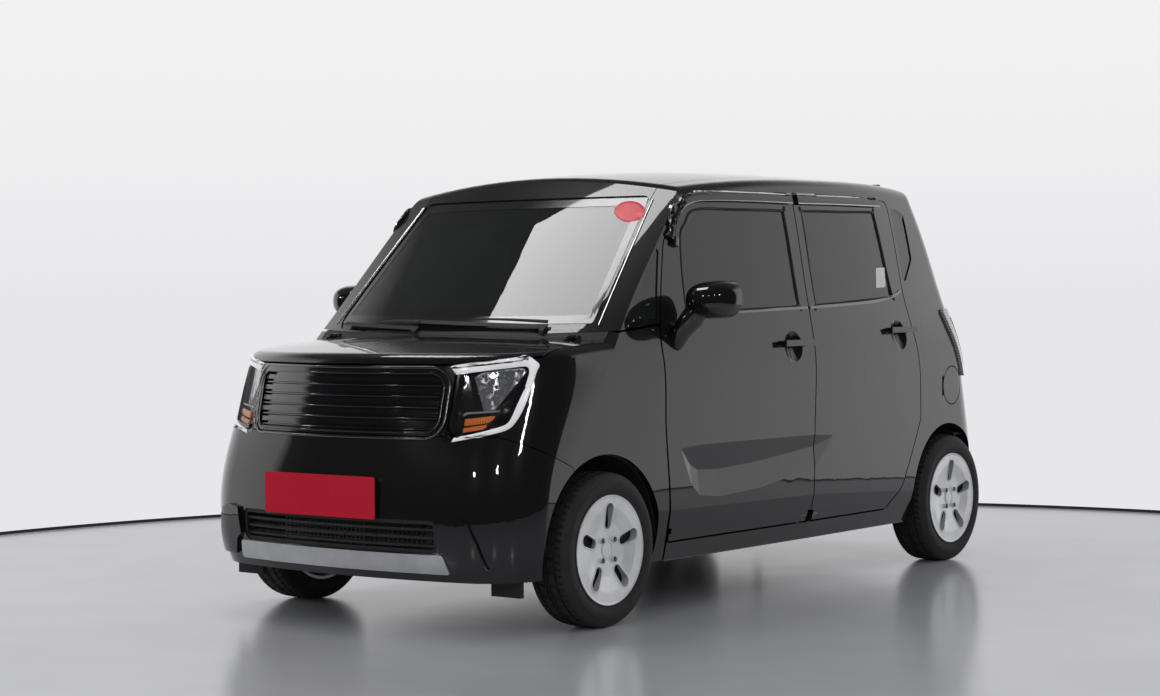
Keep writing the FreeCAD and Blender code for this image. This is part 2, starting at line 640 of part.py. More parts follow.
def hinge_moving(hinge):
    tube = cyl_x(HINGE_TUBE, hinge.x - TUBE_HALF, hinge.x + TUBE_HALF, hinge.y, hinge.z)
    return tube.fuse(block_to(hinge, hinge.x - TUBE_HALF, hinge.x + TUBE_HALF, hinge.arm_reach, hinge.z - 3))


def both_sides(shapes):
    return list(shapes) + [mirrored(shape) for shape in shapes]


def add_hinges(fixed_name, moving_name, hinge):
    near = hinge.x - TUBE_HALF - NOTCH
    far = hinge.x + TUBE_HALF + NOTCH
    wide = PIN_HALF + NOTCH
    room = cyl_x(HINGE_TUBE + NOTCH, near, far, hinge.y, hinge.z)
    swing = cyl_x(HINGE_TUBE + NOTCH, hinge.x - wide, hinge.x + wide, hinge.y, hinge.z)
    bore = cyl_x(HINGE_PIN + SEAT_GAP, hinge.x - PIN_HALF, hinge.x + PIN_HALF, hinge.y, hinge.z)
    y0, y1 = sorted([hinge.y, hinge.y + hinge.arm_reach])
    path = box(near, far, y0, y1, hinge.z - hinge.drop - NOTCH, hinge.z + NOTCH)
    fixed = NODES[fixed_name].cut(both_sides([room, path])).fuse(both_sides(hinge_fixed(hinge)))
    moving = NODES[moving_name].cut(both_sides([swing])).fuse(both_sides([hinge_moving(hinge)]))
    NODES[fixed_name] = fixed
    NODES[moving_name] = moving.cut(both_sides([bore]))


add_hinges("cowl", "hood", HOOD_HINGE)
add_hinges("roof_panel", "tailgate", GATE_HINGE)

# Number plate: one plain blank plate, proud of the bumper
PLATE_HALF = 268.0
PLATE_LOW = 408.0
PLATE_HIGH = 556.0
PLATE_CORNER = 8.0
plate_right = PLATE_X - PLATE_HALF
plate_left = PLATE_X + PLATE_HALF
plate_corners = [(plate_right, PLATE_LOW, PLATE_CORNER), (plate_right, PLATE_HIGH, PLATE_CORNER),
                 (plate_left, PLATE_HIGH, PLATE_CORNER), (plate_left, PLATE_LOW, PLATE_CORNER)]
NODES["front_plate"] = prism(plate_corners, "xz", PLATE_FRONT_Y, PLATE_FRONT_Y + PLATE_THICK)
GATE_RECESS_Y = 1712.0
NODES["tailgate"] = NODES["tailgate"].cut(box(-200, 200, GATE_RECESS_Y - SEAT_GAP, 1900, 690, 890))

# Body floor: tunnel, raised rear floor, firewall and wheel housings
FLOOR_Z = 222.0
FLOOR = 14.0
FLOOR_HALF = 664.0
REAR_FLOOR_Z = 436.0
TUNNEL_HALF = 105.0
TUNNEL_Z = 330.0
FIREWALL_Y = -824.0
FIREWALL_TOP = 957.0
FLOOR_BACK = 1735.0
path = [(FIREWALL_Y, FIREWALL_TOP), (FIREWALL_Y - FLOOR, FIREWALL_TOP), (FIREWALL_Y - FLOOR, 330, 40),
        (-700, FLOOR_Z - FLOOR, 60), (300, FLOOR_Z - FLOOR, 20), (330, REAR_FLOOR_Z - FLOOR, 20),
        (FLOOR_BACK, REAR_FLOOR_Z - FLOOR), (FLOOR_BACK, REAR_FLOOR_Z), (330 - FLOOR, REAR_FLOOR_Z, 34),
        (300 - FLOOR, FLOOR_Z, 6), (-694, FLOOR_Z, 46), (FIREWALL_Y, 336, 26)]
floor = prism(path, "yz", -FLOOR_HALF, FLOOR_HALF)
tunnel_hole = box(-TUNNEL_HALF + FLOOR, TUNNEL_HALF - FLOOR, -880, 345, 100, TUNNEL_Z - FLOOR)
tunnel = box(-TUNNEL_HALF, TUNNEL_HALF, -838, 318, FLOOR_Z - FLOOR, TUNNEL_Z).cut(tunnel_hole)
REAR_HOUSE = REAR_ARCH_RADIUS + 12.0
house = cyl_x(REAR_HOUSE, REAR_ARCH_INNER - FLOOR, 700, REAR_AXLE_Y, ARCH_Z)
well_cut = cyl_x(REAR_HOUSE - FLOOR + 4, REAR_ARCH_INNER - 2, 720, REAR_AXLE_Y, ARCH_Z)
well_box = box(REAR_ARCH_INNER - FLOOR - 2, 720, REAR_AXLE_Y - REAR_HOUSE, REAR_AXLE_Y + REAR_HOUSE,
               0, REAR_FLOOR_Z - FLOOR)
well_cut = well_cut.fuse(well_box)
pads = [box(596, 656, y - 40, y + 40, 184, FLOOR_Z - 2) for y in (-640, 330)]
TOW_X = -440.0
TOW_HALF = 7.0
TOW_BORE = 16.0
TOW_Y = 1661.0
TOW_Z = 200.0
TOW_RIM = 13.0
tow_reach = TOW_BORE + TOW_RIM
tow_loop = box(TOW_X - TOW_HALF, TOW_X + TOW_HALF, TOW_Y - tow_reach, TOW_Y + tow_reach,
               TOW_Z - tow_reach, REAR_FLOOR_Z - 4)
tow_bore_rear = cyl_x(TOW_BORE, TOW_X - 5 * TOW_HALF, TOW_X + 5 * TOW_HALF, TOW_Y, TOW_Z)
floor = floor.fuse([tunnel, house, mirrored(house)]).common(outer(POST_NEAR)).cut([post, mirrored(post)])
below_rear = box(-800, 800, 900, 1750, -100, REAR_FLOOR_Z - FLOOR - 150)
floor = floor.cut([tunnel_hole, well_cut, mirrored(well_cut), below_rear])
floor = floor.fuse(pads + [mirrored(pad) for pad in pads] + [tow_loop]).cut(tow_bore_rear)
NODES["floor_pan"] = floor.removeSplitter()

# Front structure: rails, strut towers, crash beam and radiator
RAIL_IN = 352.0
RAIL_OUT = 418.0
TOWER_OUT = 640.0
TOWER_TOP = 905.0
rail = box(RAIL_IN, RAIL_OUT, -1665, FIREWALL_Y - FLOOR - SEAT_GAP, 420, 520)
tower = box(RAIL_OUT - 12, TOWER_OUT, FRONT_AXLE_Y - 105, FRONT_AXLE_Y + 105, 640, TOWER_TOP)
tower = tower.cut(box(RAIL_OUT, TOWER_OUT + 20, FRONT_AXLE_Y - 93, FRONT_AXLE_Y + 93, 600, TOWER_TOP - 12))
tower = tower.fuse(box(RAIL_OUT - 12, RAIL_OUT, FRONT_AXLE_Y - 105, FRONT_AXLE_Y + 105, 500, 660))
beam = box(-440, 440, -1700, -1665, 440, 560)
structure = beam.fuse([rail, mirrored(rail), tower, mirrored(tower)])
NODES["front_structure"] = structure.removeSplitter()
NODES["radiator"] = box(-330, 330, -1665 + SEAT_GAP, -1640, 270, 760)

# Engine and gearbox as one plain block on two mounts
engine_arms = box(-RAIL_IN + SEAT_GAP, RAIL_IN - SEAT_GAP, -1330, -1250, 440, 500)
NODES["engine_block"] = fused([box(-240, 250, -1520, -1100, 300, 800), engine_arms])

# Wheels: tyre, rim with cover, brake disc or drum
BEAD_RADIUS = 192.0
RIM_LIP = 203.0
COVER_OUT = 84.0
HUB_BORE = 20.3
PILL_COUNT = 5
PILL_RADIUS = 24.0
PILL_IN = 92.0
PILL_OUT = 146.0
NUT_PCD = 100.0
NUT_COUNT = 4
NUT_RADIUS = 10.0


def ring(profile):
    wire = outline(profile, "xy", 0.0)
    return Part.Face(wire).revolve(Vector(0, 0, 0), Vector(1, 0, 0), 360)


half_tyre = TYRE_WIDTH / 2
tyre = ring([(-78, BEAD_RADIUS), (-half_tyre, 236), (-66, TYRE_RADIUS), (66, TYRE_RADIUS), (half_tyre, 236),
             (78, BEAD_RADIUS)])
barrel = ring([(-86, RIM_LIP - 15), (-86, RIM_LIP - 4), (-82, RIM_LIP - 4), (-78.4, BEAD_RADIUS - SEAT_GAP),
               (77, BEAD_RADIUS - SEAT_GAP), (77, 184), (-70, 184)])
cover = ring([(58, HUB_BORE + 12), (58, 100), (50, 186), (76, 186), (COVER_OUT - 1.5, 197),
              (COVER_OUT + 2, 197, 1.5), (COVER_OUT, 188, 4), (COVER_OUT - 2, 150, 60),
              (COVER_OUT - 12, 96, 30), (COVER_OUT - 16, HUB_BORE + 12)])
hub = ring([(-30, HUB_BORE), (-30, 62), (60, 62), (60, 34), (COVER_OUT - 14, 34), (COVER_OUT - 14, 0),
            (-8 + 60, 0), (-8 + 60, HUB_BORE)])
pills = []
for i in range(PILL_COUNT):
    turn = Rotation(Vector(1, 0, 0), 90 + i * 360.0 / PILL_COUNT)
    between = prism([(PILL_IN, -PILL_RADIUS + 4), (PILL_OUT, -PILL_RADIUS), (PILL_OUT, PILL_RADIUS),
                     (PILL_IN, PILL_RADIUS - 4)], "yz", 40, 100)
    inner_end = cyl_x(PILL_RADIUS - 4, 40, 100, PILL_IN, 0)
    outer_end = cyl_x(PILL_RADIUS, 40, 100, PILL_OUT, 0)
    slot = inner_end.fuse([outer_end, between])
    slot.Placement = Placement(Vector(0, 0, 0), turn)
    pills.append(slot)
nuts = []
for i in range(NUT_COUNT):
    angle = math.radians(45 + i * 360.0 / NUT_COUNT)
    reach = NUT_PCD / 2
    nuts.append(cyl_x(NUT_RADIUS, 60, COVER_OUT - 6, reach * math.cos(angle), reach * math.sin(angle)))
rim = fused([barrel, cover.cut(pills), hub] + nuts)
FRONT_DISC = ring([(-8, 60), (-8, 128), (8, 128), (8, 60)])
REAR_DRUM = ring([(-30, 60), (-30, 108), (20, 108), (20, 60)])
front_rim = rim.fuse(FRONT_DISC)
rear_rim = rim.fuse(REAR_DRUM)


def at_wheel(shape, side, y):
    placed = shape.copy()
    if side < 0:
        placed = mirrored(placed)
    placed.translate(Vector(side * WHEEL_X, y, TYRE_RADIUS))
    return placed


Corner = namedtuple("Corner", "name side y rim")
CORNERS = [
    Corner("front_left", 1, FRONT_AXLE_Y, front_rim), Corner("front_right", -1, FRONT_AXLE_Y, front_rim),
    Corner("rear_left", 1, REAR_AXLE_Y, rear_rim), Corner("rear_right", -1, REAR_AXLE_Y, rear_rim),
]
for corner in CORNERS:
    NODES["tyre_" + corner.name] = at_wheel(tyre, corner.side, corner.y)
    NODES["rim_" + corner.name] = at_wheel(corner.rim, corner.side, corner.y)

# Steered knuckles on inclined axes, each with its strut
SPINDLE = 20.0
KING_LOW = (660.0, FRONT_AXLE_Y, 190.0)
KING_TOP = (520.0, FRONT_AXLE_Y, 880.0)
STRUT_LOW = (572.0, FRONT_AXLE_Y, 390.0)
ARM_EYE = (604.0, FRONT_AXLE_Y + 105, 340.0)
spindle = cyl_x(SPINDLE, 640, WHEEL_X + 50, FRONT_AXLE_Y, TYRE_RADIUS)
carrier = cyl_x(48, 612, 668, FRONT_AXLE_Y, TYRE_RADIUS)
upright = box(600, 640, FRONT_AXLE_Y - 24, FRONT_AXLE_Y + 24, 200, 420)
ball = box(610, 680, FRONT_AXLE_Y - 20, FRONT_AXLE_Y + 20, 196, 210)
clamp = box(556, 624, FRONT_AXLE_Y - 26, FRONT_AXLE_Y + 26, 380, 440)
strut_mid = (553.0, FRONT_AXLE_Y, 560.0)
strut = rod(STRUT_LOW, strut_mid, 24).fuse(rod(strut_mid, (527.0, FRONT_AXLE_Y, 850.0), 12))
spring = rod((551.0, FRONT_AXLE_Y, 575.0), (524.0, FRONT_AXLE_Y, 850.0), 58)
arm = prism([(590, FRONT_AXLE_Y - 10), (590, ARM_EYE[1] + 14, 12), (620, ARM_EYE[1] + 14, 12),
             (636, FRONT_AXLE_Y - 10)], "xy", ARM_EYE[2], ARM_EYE[2] + 14)
caliper = box(682, 726, FRONT_AXLE_Y - 142, FRONT_AXLE_Y - 72, TYRE_RADIUS - 50, TYRE_RADIUS + 60)
caliper = caliper.cut(cyl_x(134, 690, 716, FRONT_AXLE_Y, TYRE_RADIUS))
bridge = box(640, 666, FRONT_AXLE_Y - 100, FRONT_AXLE_Y, TYRE_RADIUS - 20, TYRE_RADIUS + 20)
bridge = bridge.fuse(box(640, 687, FRONT_AXLE_Y - 140, FRONT_AXLE_Y - 96, TYRE_RADIUS - 20, TYRE_RADIUS + 20))


def on_king(z):
    share = (z - KING_LOW[2]) / (KING_TOP[2] - KING_LOW[2])
    return (KING_LOW[0] + share * (KING_TOP[0] - KING_LOW[0]), FRONT_AXLE_Y, z)


BALL_PIN = 9.0
TOP_PIN = 12.0
top_pin = rod(on_king(845), on_king(912), TOP_PIN)
ball_bore = rod(on_king(150), on_king(230), BALL_PIN + SEAT_GAP)
knuckle = fused([carrier, spindle, upright, ball, clamp, strut, spring, arm, bridge, caliper, top_pin])
knuckle = knuckle.cut(ball_bore)
tower_bore = rod(on_king(870), on_king(930), TOP_PIN + SEAT_GAP)
NODES["front_structure"] = NODES["front_structure"].cut([tower_bore, mirrored(tower_bore)])
NODES["knuckle_left"] = knuckle
NODES["knuckle_right"] = mirrored(knuckle)

# Front cross member with lower arms and the rack housing
cross = box(-330, 330, -1130, -1010, 205, 262)
arm_in = KING_LOW[0] - 14
arm_out = KING_LOW[0] + 18
lower_arm = prism([(320, -1120, 10), (400, -1180, 60), (arm_in, FRONT_AXLE_Y - 26, 16),
                   (arm_out, FRONT_AXLE_Y - 20, 16), (arm_out, FRONT_AXLE_Y + 20, 16),
                   (arm_in, FRONT_AXLE_Y + 26, 16), (420, -1080, 60), (320, -1015, 10)], "xy", 166, 190)
post_in = box(318, 336, -1118, -1020, 166, 262)
RACK_Y = ARM_EYE[1]
RACK_Z = 306.0
RACK_HALF = 250.0
housing_tube = cyl_x(27, -RACK_HALF, RACK_HALF, RACK_Y, RACK_Z)
rack_bore = cyl_x(15.5, -RACK_HALF - 5, RACK_HALF + 5, RACK_Y, RACK_Z)
saddle = box(-150, -110, RACK_Y - 20, RACK_Y + 20, 255, 290)
ball_pin = rod(on_king(170), on_king(208), BALL_PIN)
cross_member = fused([cross, lower_arm, mirrored(lower_arm), post_in, mirrored(post_in), housing_tube, saddle,
                      mirrored(saddle), ball_pin, mirrored(ball_pin)]).cut(rack_bore)
NODES["front_subframe"] = cross_member
tie = cyl_x(9, -ARM_EYE[0] + 4, ARM_EYE[0] - 4, RACK_Y, RACK_Z)
tie_ends = [Part.makeSphere(15, Vector(side * (ARM_EYE[0] - 4), RACK_Y, RACK_Z)) for side in (1, -1)]
NODES["tie_rods"] = fused([tie] + tie_ends)

# Rear twist beam with arms, springs and dampers
beam_bar = box(-560, 560, 1075, 1135, 290, 345)
trail = box(520, 566, 930, 1400, 270, 330)
stub = cyl_x(SPINDLE, 560, WHEEL_X + 50, REAR_AXLE_Y, TYRE_RADIUS)
stub_pad = box(560, 650, REAR_AXLE_Y - 40, REAR_AXLE_Y + 40, 250, 310)
plate_back = cyl_x(104, 640, 648, REAR_AXLE_Y, TYRE_RADIUS).fuse(stub_pad)
coil = Part.makeCylinder(52, REAR_FLOOR_Z - FLOOR - SEAT_GAP - 325, Vector(460, 1250, 325))
seat_cup = box(400, 525, 1190, 1310, 300, 328)
rear_half = [trail, stub, plate_back, coil, seat_cup]
NODES["rear_axle"] = fused([beam_bar] + rear_half + [mirrored(piece) for piece in rear_half])

# Exhaust and fuel tank under the floor
pipe = rod((-40, -980, 262), (-40, 420, 262), 24)
pipe_back = rod((-40, 420, 262), (-40, 1480, 262), 22)
muffler = rod((-300, 1560, 290), (160, 1560, 290), 85)
tail = rod((-300, 1600, 262), (-392, 1692, 252), 20)
link = rod((-40, 1470, 262), (-40, 1560, 275), 22)
NODES["exhaust"] = fused([pipe, pipe_back, link, muffler, tail])
TANK_LOW = 215.0
TANK_TOP = REAR_FLOOR_Z - FLOOR - SEAT_GAP
tank_right = prism([(-470, 350, 40), (-470, 900, 40), (-120, 900, 30), (-120, 350, 30)],
                   "xy", TANK_LOW, TANK_TOP)
tank_left = prism([(60, 350, 30), (60, 900, 30), (470, 900, 40), (470, 350, 40)],
                  "xy", TANK_LOW, TANK_TOP)
tank_bridge = box(-130, 70, 360, 890, 330, TANK_TOP)
NODES["fuel_tank"] = tank_right.fuse(tank_left.fuse(tank_bridge))

# Wheel housings' liners in the front arches and the air deflectors ahead of them
LINER = 4.0
band = cyl_x(ARCH_RADIUS - SEAT_GAP, 460, 748, FRONT_AXLE_Y, ARCH_Z)
band = band.cut(cyl_x(ARCH_RADIUS - SEAT_GAP - LINER, 450, 760, FRONT_AXLE_Y, ARCH_Z))
tower_room = box(400, 652, FRONT_AXLE_Y - 120, FRONT_AXLE_Y + 120, 560, 700)
band = band.cut([box(400, 800, -2000, 0, -100, 300), tower_room])
deflector = box(560, 690, -1560, -1540, 140, LEVELS[0].height - SEAT_GAP)
NODES["front_liners"] = Part.makeCompound(both(band).Solids + both(deflector).Solids)

# Seats
CUSHION_ROUND = 34.0


def soft_box(x0, x1, y0, y1, z0, z1, radius):
    block = box(x0, x1, y0, y1, z0, z1)
    return block.makeFillet(radius, block.Edges)


def seat_set(x, width, y, low, depth, height, thick, lean, head):
    cushion = soft_box(x - width / 2, x + width / 2, y, y + depth, low, low + thick, CUSHION_ROUND)
    back = soft_box(x - width / 2, x + width / 2, -thick / 2, thick / 2, 0, height, CUSHION_ROUND)
    rest = soft_box(x - head / 2, x + head / 2, -52, 40, height + 26, height + 190, 30)
    stalks = [Part.makeCylinder(7, 90, Vector(x + step, -5, height - 30)) for step in (-60, 60)]
    upper = back.fuse([rest] + stalks)
    upper.rotate(Vector(0, 0, 0), Vector(1, 0, 0), -lean)
    upper.translate(Vector(0, y + depth - 6, low + thick * 0.45))
    return cushion.fuse(upper)


FRONT_SEAT_X = 345.0
seat = seat_set(FRONT_SEAT_X, 490, -400, 470, 500, 600, 130, 16, 240)
base = box(FRONT_SEAT_X - 190, FRONT_SEAT_X + 190, -330, 60, FLOOR_Z + SEAT_GAP, 480)
base = base.cut(box(FRONT_SEAT_X - 165, FRONT_SEAT_X + 165, -400, 100, 200, 440))
NODES["front_seats"] = both(seat.fuse(base))
bench = seat_set(290, 570, 420, 560, 450, 600, 130, 18, 230)
bench_base = box(40, 540, 470, 830, REAR_FLOOR_Z + SEAT_GAP, 570)
NODES["rear_seats"] = both(bench.fuse(bench_base))

# Dashboard with console, and the steering wheel on its column
DASH = [(FIREWALL_Y + SEAT_GAP, 640), (FIREWALL_Y + SEAT_GAP, 960), (-1020, 984, 8), (-1020, 1010, 8),
        (-760, 1020, 60), (-640, 985, 40), (-612, 900, 50), (-650, 740, 40), (-700, 640, 20)]
dash = prism(DASH, "yz", -652, 652)
console = box(-95, 95, -700, -330, TUNNEL_Z + SEAT_GAP, 560)
centre = box(-130, 130, -720, -600, 540, 900)
screen = box(-120, 120, -640, -606, 900, 1050)
COLUMN_TILT = 24.0
WHEEL_CENTRE = Vector(FRONT_SEAT_X, -455, 955)
toward = Vector(0, math.cos(math.radians(COLUMN_TILT)), math.sin(math.radians(COLUMN_TILT)))
shroud_end = WHEEL_CENTRE - toward * 46
shroud = Part.makeCylinder(42, 190, shroud_end - toward * 190, toward)
SHAFT = 12.0
shaft_bore = Part.makeCylinder(SHAFT + SEAT_GAP, 80, shroud_end - toward * 70, toward)
NODES["dashboard"] = fused([dash, console, centre, screen, shroud]).cut(shaft_bore)
torus = Part.makeTorus(178, 14, WHEEL_CENTRE, toward)
boss = Part.makeCylinder(62, 40, WHEEL_CENTRE - toward * 30, toward)
spokes = []
for angle in (0.0, 180.0, 270.0):
    out = Rotation(toward, angle).multVec(Vector(1, 0, 0))
    spokes.append(Part.makeCylinder(15, 178, WHEEL_CENTRE - toward * 8, out))
shaft = Part.makeCylinder(SHAFT, 84, shroud_end - toward * 50, toward)
NODES["steering_wheel"] = fused([torus, boss, shaft] + spokes)

# Door mirrors on the front doors
head = soft_box(808, 996, -772, -628, 1094, 1232, 46)
foot = prism([(-786, 1012, 12), (-770, 1140, 20), (-662, 1140, 20), (-668, 1070, 30), (-736, 984, 14)], "yz",
             skin_x(-720, 1085) - 12, 826)
mirror = head.fuse(foot).cut(shell(0.0, WALL).fuse(outer(WALL)))
NODES["mirror_left"] = mirror
NODES["mirror_right"] = mirrored(mirror)

# Wipers at the foot of the windscreen: strips that follow the glass, each on a short pivot
Wiper = namedtuple("Wiper", "pivot_x tip_x low rise")
WIPERS = [Wiper(470, -150, 1066, 18), Wiper(-100, -560, 1058, 16)]
BLADE_HEIGHT = 13.0
WIPER_GAP = -0.3
wiper_parts = []
for row in WIPERS:
    corners = [(row.pivot_x, row.low), (row.pivot_x, row.low + BLADE_HEIGHT),
               (row.tip_x, row.low + row.rise + BLADE_HEIGHT), (row.tip_x, row.low + row.rise)]
    blade = shell(-TAIL_LAMP_PROUD, -SKID_PROUD).common(front_prism(corners, -1300, -900))
    root = blade.common(box(row.pivot_x - 30, row.pivot_x, -1300, -900, 900, 1200))
    root_y = root.optimalBoundingBox(False, False).YMin
    post_box = box(row.pivot_x - 22, row.pivot_x - 2, root_y - 4, root_y + 14, row.low - 24, row.low + 6)
    pivot = outer(-TAIL_LAMP_PROUD).common(post_box).cut(outer(WIPER_GAP))
    wiper_parts.append(blade.fuse(pivot))
NODES["wipers"] = Part.makeCompound(wiper_parts)

os.makedirs("parts", exist_ok=True)
for name, shape in NODES.items():
    shape.exportStep("parts/" + name + ".step")
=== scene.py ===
import bmesh
import bpy
import math
from mathutils import Matrix, Vector
from mathutils.bvhtree import BVHTree


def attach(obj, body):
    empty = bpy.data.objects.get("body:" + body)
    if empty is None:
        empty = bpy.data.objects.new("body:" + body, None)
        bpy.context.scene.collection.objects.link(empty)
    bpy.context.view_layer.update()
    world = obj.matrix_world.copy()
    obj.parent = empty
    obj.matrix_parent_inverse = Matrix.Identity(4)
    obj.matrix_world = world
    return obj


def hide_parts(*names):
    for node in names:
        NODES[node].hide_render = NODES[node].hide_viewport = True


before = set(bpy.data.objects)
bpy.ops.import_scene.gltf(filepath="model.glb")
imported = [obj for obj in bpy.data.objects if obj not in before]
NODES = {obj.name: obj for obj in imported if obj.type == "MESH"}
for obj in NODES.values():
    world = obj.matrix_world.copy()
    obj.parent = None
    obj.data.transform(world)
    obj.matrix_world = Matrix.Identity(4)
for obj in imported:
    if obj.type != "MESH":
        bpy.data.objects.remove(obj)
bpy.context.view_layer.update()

# Camera: solved from the photograph, in the part's frame
CAMERA_PLACE = Vector((5.679, -7.7006, 1.185))
CAMERA_AZIMUTH = math.radians(37.556)
CAMERA_PITCH = math.radians(1.317)
CAMERA_ROLL = math.radians(-0.422)
CAMERA_LENS = 71.42
SENSOR = 36.0
PHOTO_WIDE = 1160.0
PHOTO_HIGH = 696.0
FOCAL = CAMERA_LENS / SENSOR * PHOTO_WIDE

# Directions in the car's frame: it faces TO_FRONT, and TO_LEFT is its own left
TO_LEFT = Vector((1, 0, 0))
TO_RIGHT = Vector((-1, 0, 0))
TO_FRONT = Vector((0, -1, 0))
TO_BACK = Vector((0, 1, 0))
UPWARD = Vector((0, 0, 1))
SCREEN_OUT = Vector((0, -0.7, 0.7))
SIDES = ((1, "left"), (-1, "right"))

BACK_AXIS = Vector((math.sin(CAMERA_AZIMUTH) * math.cos(CAMERA_PITCH),
                    -math.cos(CAMERA_AZIMUTH) * math.cos(CAMERA_PITCH), math.sin(CAMERA_PITCH)))
RIGHT_FLAT = (-BACK_AXIS).cross(UPWARD).normalized()
UP_FLAT = RIGHT_FLAT.cross(-BACK_AXIS)
RIGHT_AXIS = RIGHT_FLAT * math.cos(CAMERA_ROLL) + UP_FLAT * math.sin(CAMERA_ROLL)
UP_AXIS = UP_FLAT * math.cos(CAMERA_ROLL) - RIGHT_FLAT * math.sin(CAMERA_ROLL)


def placed(name, data):
    made = bpy.data.objects.new(name, data)
    bpy.context.scene.collection.objects.link(made)
    return made


def add_camera():
    data = bpy.data.cameras.new("camera")
    data.lens = CAMERA_LENS
    data.sensor_width = SENSOR
    data.clip_end = 200.0
    camera = placed("camera", data)
    rows = [(RIGHT_AXIS[i], UP_AXIS[i], BACK_AXIS[i], CAMERA_PLACE[i]) for i in range(3)]
    camera.matrix_world = Matrix(rows + [(0, 0, 0, 1)])
    bpy.context.scene.camera = camera


# Material helpers: small node trees on one principled shader
def shader(name):
    material = bpy.data.materials.new(name)
    material.use_nodes = True
    tree = material.node_tree
    return material, tree, tree.nodes["Principled BSDF"]


def put(bsdf, **values):
    for key, value in values.items():
        bsdf.inputs[key.replace("_", " ")].default_value = value


def add(tree, kind, **settings):
    node = tree.nodes.new(kind)
    for key, value in settings.items():
        setattr(node, key, value)
    return node


def noise(tree, scale, detail=3.0):
    coords = add(tree, "ShaderNodeTexCoord")
    texture = add(tree, "ShaderNodeTexNoise")
    texture.inputs["Scale"].default_value = scale
    texture.inputs["Detail"].default_value = detail
    tree.links.new(coords.outputs["Object"], texture.inputs["Vector"])
    return texture.outputs["Fac"]


def ramp(tree, source, stops):
    node = add(tree, "ShaderNodeValToRGB")
    elements = node.color_ramp.elements
    while len(elements) < len(stops):
        elements.new(0.5)
    for element, (place, colour) in zip(elements, stops):
        element.position = place
        element.color = (*colour, 1.0)
    tree.links.new(source, node.inputs["Fac"])
    return node.outputs["Color"]


def spread(tree, source, low, high):
    node = add(tree, "ShaderNodeMapRange")
    node.inputs["To Min"].default_value = low
    node.inputs["To Max"].default_value = high
    tree.links.new(source, node.inputs["Value"])
    return node.outputs["Result"]


def bump(tree, bsdf, source, strength, distance):
    node = add(tree, "ShaderNodeBump")
    node.inputs["Strength"].default_value = strength
    node.inputs["Distance"].default_value = distance
    tree.links.new(source, node.inputs["Height"])
    tree.links.new(node.outputs["Normal"], bsdf.inputs["Normal"])


def scaled(colour, share):
    return tuple(min(1, part * share) for part in colour)


def look(tree, bsdf, source, stops, rough_source, low, high):
    """Colour and roughness, each varied by a texture."""
    tree.links.new(ramp(tree, source, stops), bsdf.inputs["Base Color"])
    tree.links.new(spread(tree, rough_source, low, high), bsdf.inputs["Roughness"])


def paint_material(name, colour, flake):
    material, tree, bsdf = shader(name)
    put(bsdf, Metallic=0.0, Coat_Weight=1.0, Coat_Roughness=0.02, Coat_IOR=1.6, Specular_IOR_Level=0.08)
    stops = [(0.35, scaled(colour, 0.7)), (0.72, tuple(part + flake for part in colour))]
    look(tree, bsdf, noise(tree, 900.0, 2.0), stops, noise(tree, 3.0), 0.23, 0.34)
    return material


def plastic_material(name, colour, rough, grain=900.0, depth=0.0004, strength=0.35, coat=0.0):
    material, tree, bsdf = shader(name)
    put(bsdf, Coat_Weight=coat, Coat_Roughness=0.03)
    stops = [(0.3, scaled(colour, 0.8)), (0.75, scaled(colour, 1.15))]
    look(tree, bsdf, noise(tree, 14.0, 4.0), stops, noise(tree, 30.0), rough - 0.06, rough + 0.08)
    if strength:
        bump(tree, bsdf, noise(tree, grain, 2.0), strength, depth)
    return material


def metal_material(name, colour, rough, metallic=1.0, coat=0.0):
    material, tree, bsdf = shader(name)
    put(bsdf, Metallic=metallic, Coat_Weight=coat, Coat_Roughness=0.05)
    stops = [(0.3, scaled(colour, 0.85)), (0.7, scaled(colour, 1.08))]
    look(tree, bsdf, noise(tree, 9.0, 4.0), stops, noise(tree, 40.0, 4.0), rough - 0.05, rough + 0.09)
    bump(tree, bsdf, noise(tree, 160.0, 3.0), 0.2, 0.0002)
    return material


def glass_material(name, colour, alpha, rough=0.01, coat=0.4):
    material, tree, bsdf = shader(name)
    put(bsdf, Roughness=rough, IOR=1.5, Coat_Weight=coat, Coat_Roughness=0.01)
    stops = [(0.3, scaled(colour, 0.85)), (0.7, colour)]
    tree.links.new(ramp(tree, noise(tree, 2.0), stops), bsdf.inputs["Base Color"])
    tree.links.new(spread(tree, noise(tree, 1.3, 2.0), alpha - 0.02, alpha + 0.02), bsdf.inputs["Alpha"])
    return material


def reflector_material():
    material, tree, bsdf = shader("lamp_reflector")
    put(bsdf, Metallic=0.9, Coat_Weight=0.5)
    coords = add(tree, "ShaderNodeTexCoord")
    facets = add(tree, "ShaderNodeTexVoronoi", feature="F1", distance="CHEBYCHEV")
    facets.inputs["Scale"].default_value = 42.0
    facets.inputs["Randomness"].default_value = 0.35
    tree.links.new(coords.outputs["Object"], facets.inputs["Vector"])
    stops = [(0.1, (0.80, 0.81, 0.83)), (0.8, (0.50, 0.51, 0.53))]
    look(tree, bsdf, facets.outputs["Distance"], stops, noise(tree, 60.0), 0.10, 0.20)
    bump(tree, bsdf, facets.outputs["Distance"], 0.8, 0.006)
    return material


